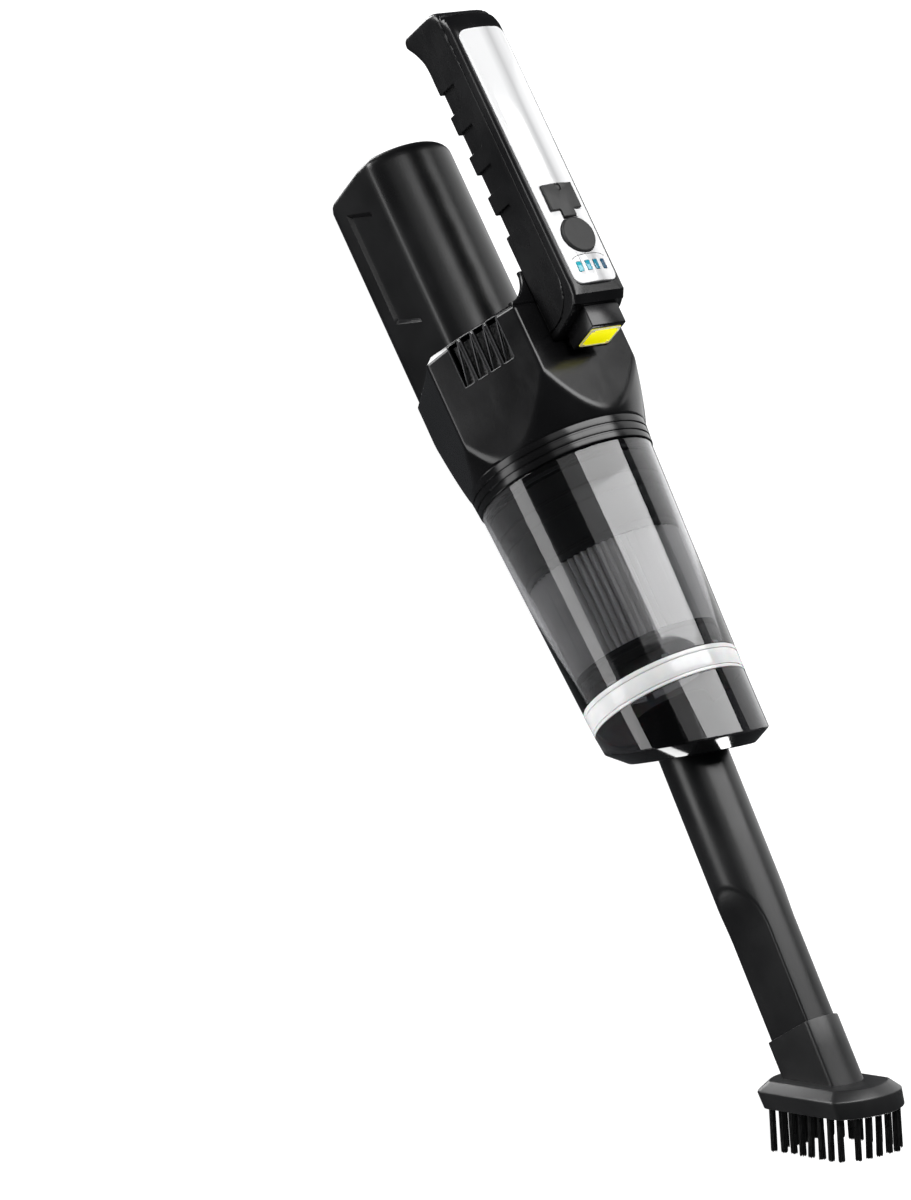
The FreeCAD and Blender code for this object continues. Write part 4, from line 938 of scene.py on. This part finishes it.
def buildGrip():
    size = handleSize
    walls = []
    for index in range(4):
        start = size["notchFirst"] + index * size["notchPitch"]
        walls += [start, start + size["notchLength"]]
    rear = -193.0
    places = [rear]
    for wall in walls:
        places += list(stations(places[-1], (wall - 1.0, 1.7)))[1:]
        places += [wall - 0.6, wall - 0.35, wall - 0.15, wall + 0.02, wall + 0.2, wall + 0.45, wall + 0.8]
    places += list(stations(places[-1], (-58.0, 1.2)))[1:]
    places = np.array(places)
    angles = spreadAngles(gripField, (-150, 51.0, 0), 0.8, 0.16)
    levels = np.interp(places, [rear, -178, -165], [46.5, 48.5, 51.0])
    rings = castRings(gripField, [(x, z, 0) for x, z in zip(places, levels)], angles)
    shares = [0.995, 0.985, 0.97, 0.95, 0.925, 0.9, 0.86, 0.82, 0.76, 0.68, 0.5, 0.25, 0.03]
    rearEnd = castEnd(gripField, rings[0], (places[0], 0, levels[0]), (-1, 0, 0), shares)
    frontEnd = castEnd(gripField, rings[-1], (places[-1], 0, levels[-1]), (1, 0, 0), shares)
    allRings = np.concatenate([rearEnd[::-1], rings, frontEnd])
    made = addPiece("handleGrip", allRings, ringFaces(len(allRings), len(angles), False, True), "gripBlack",
                    "housing", ["handle_grip"], 40)
    wells = [boxRings((-183, -11.8, 45.5), (-62, 11.8, 70), 2.0)]
    wells += [rodRings(x, 2.8, 40, 44) for x in (-177, -130)]
    carve(made, wells)


def buildCover():
    rear, level = -190.5, 62.8
    angles = spreadAngles(coverField, (-120, level, 0), 0.8, 0.16)
    spine = [(x, level, 0.0) for x in stations(rear, (-62, 1.6))]
    spine += [      # over the front edge and down
        (-59.5, 62.5, -0.12), (-56, 61.6, -0.35), (-53.6, 60.2, -0.7), (-51.9, 58.0, -1.0), (-50.8, 55.4, -1.2),
        (-50.0, 52.5, -1.3), (-49.2, 49.5, -1.36), (-48.5, 46.5, -1.42), (-48.0, 44.2, -1.47)]
    rings = castRings(coverField, spine, angles, 30)
    shares = [0.995, 0.98, 0.95, 0.91, 0.87, 0.82, 0.75, 0.6, 0.3, 0.03]
    rearEnd = castEnd(coverField, rings[0], (rear, 0, level), (-1, 0, 0), shares)
    toe = castEnd(coverField, rings[-1], (spine[-1][0], 0, spine[-1][1]), (0.1, 0, -0.995), shares)
    allRings = np.concatenate([rearEnd[::-1], rings, toe])
    made = addPiece("handleCover", allRings, ringFaces(len(allRings), len(angles), False, True), "gripBlack",
                    "housing", ["handle_cover"], 40)
    carve(made, [liftRings(panelOutline(0.12), (63.1, 70.0))])      # the panel's seat
    carve(made, [boxRings((-106.7, -10, 58), (-62, 10, 63.6), 1.0)])      # room for the board


buildGrip()
buildCover()
print("handle made")


# control panel, button, port cover and lamp

softened = {    # piece, finish, body, width and steps of its soft edges, the angle where they start, slot
    "control_panel": ("controlPanel", "panelWhite", "housing", 0.35, 3, 30, "panel_white"),
    "power_button": ("powerButton", "rubberGrey", "power_button", 0.25, 3, 40, "rubber_grey"),
    "port_cover": ("portCover", "rubberGrey", "port_cover", 0.3, 3, 40, "rubber_grey"),
    "charge_lights": ("chargeLights", "chargeBars", "housing", 0.12, 2, 40, "indicator"),
    "lamp_housing": ("lampHousing", "bodyBlack", "housing", 0.6, 3, 28, "body_black"),
    "lamp_lens": ("lampLens", "lampYellow", "housing", 0.25, 3, 28, "lamp_yellow"),
    "housing_screws": ("housingScrews", "steel", "housing", 0.2, 2, 40, "steel"),
    "cover_screws": ("coverScrews", "steel", "housing", 0.2, 2, 40, "steel"),
}
for cadName, look in softened.items():
    fromCad(cadName, *look)
lampSize = {"foot": (-38.6, 45.6), "lean": (-0.1465, 0.989), "low": 2.63, "high": 13.75, "half": 8.15}


def onLamp(y, up, out):
    lean = lampSize["lean"]
    return np.array([lampSize["foot"][0] + lean[0] * up + lean[1] * out, y,
                     lampSize["foot"][1] + lean[1] * up - lean[0] * out])


# the pale frame round the lens, with a pad at each corner
def buildLampFrame():
    size = lampSize
    low, high, half = size["low"] + 0.15, size["high"] - 0.15, size["half"] - 0.15
    loop = roundedLoop([(-half, low), (half, low), (half, high), (-half, high)], 1.2, 4)
    path = np.array([onLamp(a, b, 0.2) for a, b in loop])
    out = onLamp(0, 0, 1) - onLamp(0, 0, 0)
    parts = [(tubeRings(path, 0.42, out, 10, 0.8), True, False)]
    for side in (-1, 1):
        for level, way in ((low, 1), (high, -1)):
            pad = roundedLoop([(0, 0), (2.0 * side, 0), (2.0 * side, 1.3 * way), (0, 1.3 * way)], 0.3, 3)
            corner = np.array([-half * side, level])
            rings = [[onLamp(*(corner + spot), rise) for spot in pad] for rise in (-0.2, 0.32, 0.42)]
            parts.append((np.array(rings), False, True))
    joinMeshes("lampFrame", parts, "frostWhite", "housing", ())


buildLampFrame()


panelCrown = {"top": 67.5, "radius": 42}


# the fine arched line above the charge bars
def buildPanelLine():
    top, radius = panelCrown["top"], panelCrown["radius"]
    across = np.linspace(-8.8, 8.8, 33)
    level = top - radius + np.sqrt(radius ** 2 - across ** 2) - 0.03
    path = np.column_stack([-71.4 + 1.3 * (across / 8.6) ** 4, across, level])
    turns = np.linspace(0, 2 * math.pi, 8, endpoint=False)
    rings = [[spot + (0.16 * math.cos(t), 0, 0.12 * math.sin(t)) for t in turns] for spot in path]
    joinMeshes("panelLine", [(np.array(rings), False, True)], "rubberGrey", "housing", ())


buildPanelLine()
print("panel and lamp made")


# collar, cup and filter

addTurned("collar", [
    (-10, 33.6), (5, 33.6), (5, 36.2), (4, 36.2), (4, 35.2), (2.4, 35.2), (2.4, 36.2), (0, 36.2), (0, 39.2),
    (-2.6, 39.42), (-2.6, 38.9), (-3.4, 38.9), (-3.4, 39.5), (-6.2, 39.73), (-6.2, 39.2), (-7.0, 39.2),
    (-7.0, 39.8), (-10, 40.05)],
    [0.1, 0.3, 0.3, 0.1, 0.1, 0.1, 0.1, 0.1, 0.5, 0.2, 0.1, 0.1, 0.2, 0.2, 0.1, 0.1, 0.2, 0.1],
    "bodyBlack", "housing", ["collar"], 160, steps=3)

cupSize = {"radius": 38.7, "taper": -0.0452, "wall": 1.8}


def cupRadius(x):
    return cupSize["radius"] + cupSize["taper"] * x


# the section of the cup's wall from one station to another
def cupWall(rear, front):
    wall = cupSize["wall"]
    return [(rear, cupRadius(rear) - wall), (front, cupRadius(front) - wall), (front, cupRadius(front)),
            (rear, cupRadius(rear))]


addTurned("dustCup", cupWall(0.3, 94.75), [0.2, 0.1, 0.25, 0.5], "clearSmoke", "dust_cup", ["dust_cup"],
          192)
ringRadius = cupRadius(100)
addTurned("cupRing", [
    (94.85, ringRadius - 2.3), (105.55, ringRadius - 2.7), (105.55, ringRadius - 0.12), (104.6, ringRadius - 0.08),
    (104.6, ringRadius - 0.4), (104.0, ringRadius - 0.4), (104.0, ringRadius - 0.05), (97.4, ringRadius + 0.26),
    (97.4, ringRadius - 0.1), (96.8, ringRadius - 0.1), (96.8, ringRadius + 0.3), (94.85, ringRadius + 0.36)],
    [0.1, 0.1, 0.3, 0.1, 0.1, 0.1, 0.15, 0.15, 0.1, 0.1, 0.15, 0.3],
    "frostWhite", "dust_cup", ["cup_ring"], 192, steps=3)


# slide the points so that the outline's end lies on the slanted rim
def leanForward(start, end):
    def shape(rings):
        share = np.clip((rings[..., 0] - start) / (end - start), 0, None)
        rings[..., 0] += np.minimum(share, 1) * rimSlant * rings[..., 2]
        return rings
    return shape


addTurned("cupFront", cupWall(105.65, 122.2), [0.1, 0.1, 0.4, 0.2], "darkSmoke", "dust_cup", ["cup_front"],
          192, leanForward(105.65, 122.2))
addTurned("noseCap", [
    (122.35, 31.4), (126.0, 24.0), (126.3, 17.2), (107.6, 16.4), (107.6, 14.7), (128.05, 14.7), (128.1, 25.3),
    (122.35, 33.12)],
    [0.1, 1.5, 1.0, 0.3, 0.3, 0.5, 0.7, 0.35], "noseBlack", "dust_cup", ["nose_cap"], 192,
    leanForward(107.6, 122.35))


# small catches on the ring, seen through the cup
def buildLugs():
    parts = []
    for index in range(8):
        angle = math.radians(45 * index + 12)
        section = roundedLoop([(92.9, -1.5), (95.6, -1.5), (95.6, 1.5), (92.9, 1.5)], 0.4, 3)
        rings = []
        for reach in (31.5, 31.62, 32.3, 32.5):
            rings.append([(x, reach * math.sin(angle) + across * math.cos(angle),
                           reach * math.cos(angle) - across * math.sin(angle)) for x, across in section])
        parts.append((np.array(rings), False, True))
    joinMeshes("ringLugs", parts, "frostWhite", "dust_cup", ())


buildLugs()

# the holder that carries the pleats
addTurned("filterHolder", [
    (-5, 31.2), (7, 31.2), (37, 32.0), (37, 22.4), (39, 22.4), (39, 34.0), (36.8, 34.1), (36.8, 33.4),
    (35.6, 33.4), (35.6, 34.15), (21.5, 35.0), (21.5, 34.4), (20.3, 34.4), (20.3, 35.05), (15.2, 35.35),
    (15.2, 34.6), (14.0, 34.6), (14.0, 35.45), (5.4, 36.0), (5.4, 33.2), (-5, 33.2)],
    0.25, "innerBlack", "filter", ["filter_frame"], 128, steps=2)
addTurned("filterCap", [
    (82.05, 0.8), (86.6, 0.8), (86.6, 20.0), (89.6, 22.0), (89.6, 31.0), (88.6, 31.8), (85.6, 31.95), (85.2, 31.4),
    (84.2, 31.4), (83.9, 32.1), (82.05, 32.4)],
    [0.1, 0.1, 0.8, 0.5, 0.5, 0.3, 0.2, 0.1, 0.1, 0.2, 0.2],
    "innerBlack", "filter", ["filter_end_cap"], 128, steps=3)

pleats = {
    "count": 64, "deep": 3.2, "rear": 39.05, "front": 82.0, "rearRadius": 33.6, "frontRadius": 32.1, "bore": 24.0,
}


# folded paper: every fold is rounded and wanders a little
def buildPleats():
    random.seed(7)
    size = pleats
    perFold = 10
    around = size["count"] * perFold
    angles = np.linspace(0, 2 * math.pi, around, endpoint=False)
    phase = np.arange(around) % perFold / perFold
    wave = np.abs(2 * phase - 1) ** 0.8
    wander = np.repeat([random.uniform(-0.22, 0.22) for _ in range(size["count"])], perFold)
    deeper = np.repeat([random.uniform(-0.25, 0.1) for _ in range(size["count"])], perFold)

    def ringAt(x, reach, turns):
        return np.column_stack([np.full(around, x), reach * np.cos(turns), reach * np.sin(turns)])

    rings = []
    for share in np.linspace(0, 1, 15):
        radius = size["rearRadius"] + (size["frontRadius"] - size["rearRadius"]) * share
        reach = radius - (1 - wave) * (size["deep"] + deeper) - 0.1
        x = size["rear"] + (size["front"] - size["rear"]) * share
        rings.append(ringAt(x, reach, angles + wander / radius * math.sin(math.pi * share)))
    rings += [ringAt(size[end], size["bore"], angles) for end in ("front", "rear")]
    addPiece("filterPleats", rings, ringFaces(len(rings), around, True, False), "pleatPaper", "filter",
             ["filter_pleats"], 50)


buildPleats()
print("cup and filter made")


# crevice tool and brush

toolSize = {
    "radius": 14.3, "wall": 1.8, "flat": 7.8, "scoopEnd": 79.0, "scoopRound": 40.5, "tail": -20.0, "end": 134.0,
}
brushSize = {
    "start": 120.8, "wall": 1.1, "gap": 0.3, "half": 20.0, "straight": 21.6, "bulge": 8.0, "bevel": 4.0,
    "skirt": 6.9, "shift": 2.4,
}


def toolSkin(x, y, z, more=0.0, edge=0.6):
    size = toolSize
    tube = np.hypot(y, z) - size["radius"] - more
    side = np.abs(y) - size["flat"]
    scoop = size["scoopRound"] - np.hypot(x - size["scoopEnd"], side - size["scoopRound"])
    return roundMax(tube, np.where(x < size["scoopEnd"], scoop, side) - more, edge)


def toolOutside(x, y, z):
    ends = np.maximum(toolSize["tail"] - x, x - toolSize["end"])
    return roundMax(toolSkin(x, y, z), ends, 0.3)


def buildTool():
    angles = spreadAngles(toolSkin, (110, 0, 0), 0.9, 0.14)
    spine = alongAxis(stations(toolSize["tail"] + 0.35, (54, 6.0), (80, 0.8), (133.6, 3.0)))
    outer = castRings(toolOutside, spine, angles)
    inner = castRings(lambda x, y, z: toolSkin(x, y, z, -toolSize["wall"]), spine, angles)
    rings = onTool(np.concatenate([outer, inner[::-1]]))
    addPiece("creviceTool", rings, ringFaces(len(rings), len(angles), True, False), "toolBlack", "crevice_tool",
             ["crevice_tool"])


buildTool()


# straight sides with bowed ends, as (y, z) points
def plateOutline(inset, shift, roundIn, steps=14):
    half = brushSize["half"] - inset
    straight = brushSize["straight"] - inset * 0.75
    tip = straight + brushSize["bulge"] - roundIn
    rise = tip - straight
    radius = (half ** 2 + rise ** 2) / (2 * rise)
    high = arcBetween((half, straight), (-half, straight), radius, steps, True)
    low = arcBetween((-half, -straight), (half, -straight), radius, steps, True)
    outline = [tuple(spot) for spot in (*high, *low)]
    loop = roundedLoop(outline, [1.6 if abs(abs(y) - half) < 1e-6 else 0.0 for y, _ in outline], 4)
    return loop + (0, shift)


def plateRing(depth, inset, shift, roundIn):
    outline = plateOutline(inset, shift, roundIn)
    return np.column_stack([np.full(len(outline), depth), outline])


def buildBrush():
    size = brushSize
    bevel, skirt, shift = size["bevel"], size["skirt"], size["shift"]
    levels = [      # depth, inset, shift and rounding of each ring of the plate and its skirt
        (-bevel, bevel + 6, 0, 2), (-bevel, bevel + 0.7, 0, 0.75), (-bevel + 0.08, bevel + 0.25, 0, 0.66),
        (-bevel + 0.3, bevel - 0.1, 0, 0.58), (-0.55, 0.45, 0, 0.06), (-0.2, 0.12, 0, 0), (0.2, 0.0, 0.05, 0),
        (0.7, 0.05, 0.2, 0), (skirt - 0.8, 0.6, shift - 0.25, 0), (skirt - 0.25, 0.75, shift - 0.1, 0),
        (skirt, 1.25, shift, 0), (skirt, 5.7, shift, 0.9), (skirt - 0.3, 6.0, shift, 1.0),
        (skirt - 3, 6.1, shift, 1.0),
    ]
    rings = onPlate([plateRing(*level) for level in levels])
    made = addPiece("brushHead", rings, ringFaces(len(rings), rings.shape[1], False, True), "brushBlack",
                    "brush_head", ["brush_head"])
    angles = spreadAngles(toolSkin, (125, 0, 0), 0.8, 0.14)
    more = size["gap"] + size["wall"]
    section = castRings(lambda x, y, z: toolSkin(x, y, z, more, 0.7), [(125, 0, 0)], angles)[0]
    slope = math.tan(plateTilt)
    sleeve = []
    for ahead, share, grow in ((0, 0, 0.965), (0, 0, 0.985), (0.12, 0, 0.996), (0.45, 0, 1), (0.5, 0.35, 1),
                               (0.5, 0.7, 1), (0, 1, 1)):
        ring = section * (1, grow, grow)
        first = size["start"] + ahead
        last = plateRoot[0] + (ring[:, 2] - plateRoot[2]) * slope - 0.6
        ring[:, 0] = first + (last - first) * share
        sleeve.append(ring)
    carve(made, [onTool(sleeve)], "UNION")
    bore = castRings(lambda x, y, z: toolSkin(x, y, z, size["gap"]), alongAxis((size["start"] - 2, 165)), angles)
    carve(made, [onTool(bore)])


buildBrush()

tufts = {       # rings holds how far out each ring of bristles stands, and how many it has
    "length": 18.3, "root": 2.4, "pitch": 5.5, "count": 8, "hair": 0.31, "rings": ((0, 1), (0.54, 6), (1.04, 12)),
}


# one bristle, thinner and rounded at its tip
def hairRings(base, way, length, radius, lean):
    side = np.array([0, 1.0, 0])
    other = np.cross(way, side)
    turns = np.linspace(0, 2 * math.pi, 6, endpoint=False)
    rings = []
    for share, size in ((0, 1), (0.35, 1), (0.7, 0.98), (0.97, 0.9), (1.0, 0.45)):
        spot = base + way * length * share + lean * share ** 2
        rings.append([spot + (side * math.cos(t) + other * math.sin(t)) * radius * size for t in turns])
    return np.array(rings)


# the middles of the tufts: a row along each side and a row over each end
def tuftSpots():
    pitch = tufts["pitch"]
    half = pitch * (tufts["count"] - 1) / 2
    row = brushSize["half"] - 3.4
    spots = [(side * row, index * pitch - half) for index in range(tufts["count"]) for side in (-1, 1)]
    spots += [(across, half + pitch * (1 - (across / 22) ** 2)) for across in (-11, -5.5, 0, 5.5, 11)]
    return spots + [(across, -half - 1.6) for across in (-8.3, -2.8, 2.8, 8.3)]


def buildTufts():
    random.seed(21)
    hairs = []      # one in the middle, with two rings round it
    for reach, count in tufts["rings"]:
        turns = np.arange(count) * 2 * math.pi / count + (0.26 if count > 6 else 0)
        hairs += [(reach * math.cos(turn), reach * math.sin(turn)) for turn in turns]
    ahead = np.array([1.0, 0, 0])
    parts = []
    for across, along in tuftSpots():
        tuftLean = np.array([0, random.uniform(-0.35, 0.35), random.uniform(-0.35, 0.35)])
        tuftShort = random.uniform(0.0, 0.7)
        for a, b in hairs:
            base = np.array([brushSize["skirt"] - tufts["root"], across + a, along + b + brushSize["shift"]])
            outLean = [0, a * 0.12 + random.uniform(-0.1, 0.1), b * 0.12 + random.uniform(-0.1, 0.1)]
            length = tufts["length"] + tufts["root"] - tuftShort - random.uniform(0, 0.5)
            hair = hairRings(base, ahead, length, tufts["hair"], tuftLean + outLean)
            parts.append((onPlate(hair), False, True))
    joinMeshes("brushTufts", parts, "bristleBlack", "brush_head", ["brush_tufts", "brush_end_tufts"], 60)


buildTufts()
print("tool and brush made")


# floor

def addFloor():
    work = bmesh.new()
    bmesh.ops.create_circle(work, cap_ends=True, segments=128, radius=0.62)
    mesh = bpy.data.meshes.new("floor")
    work.to_mesh(mesh)
    work.free()
    made = bpy.data.objects.new("floor", mesh)
    made.location = (middle.x, middle.y, -0.0006)
    scene.collection.objects.link(made)
    made.visible_glossy = False
    made.visible_shadow = False
    paint, _, shader = startFinish("floorPaint", (0.3, 0.3, 0.3), 0.9, Specular_IOR_Level=0.0,
                                   Emission_Strength=1.0)
    shader.inputs["Emission Color"].default_value = (1, 1, 1, 1)
    mesh.materials.append(paint)


addFloor()

print("all pieces made")
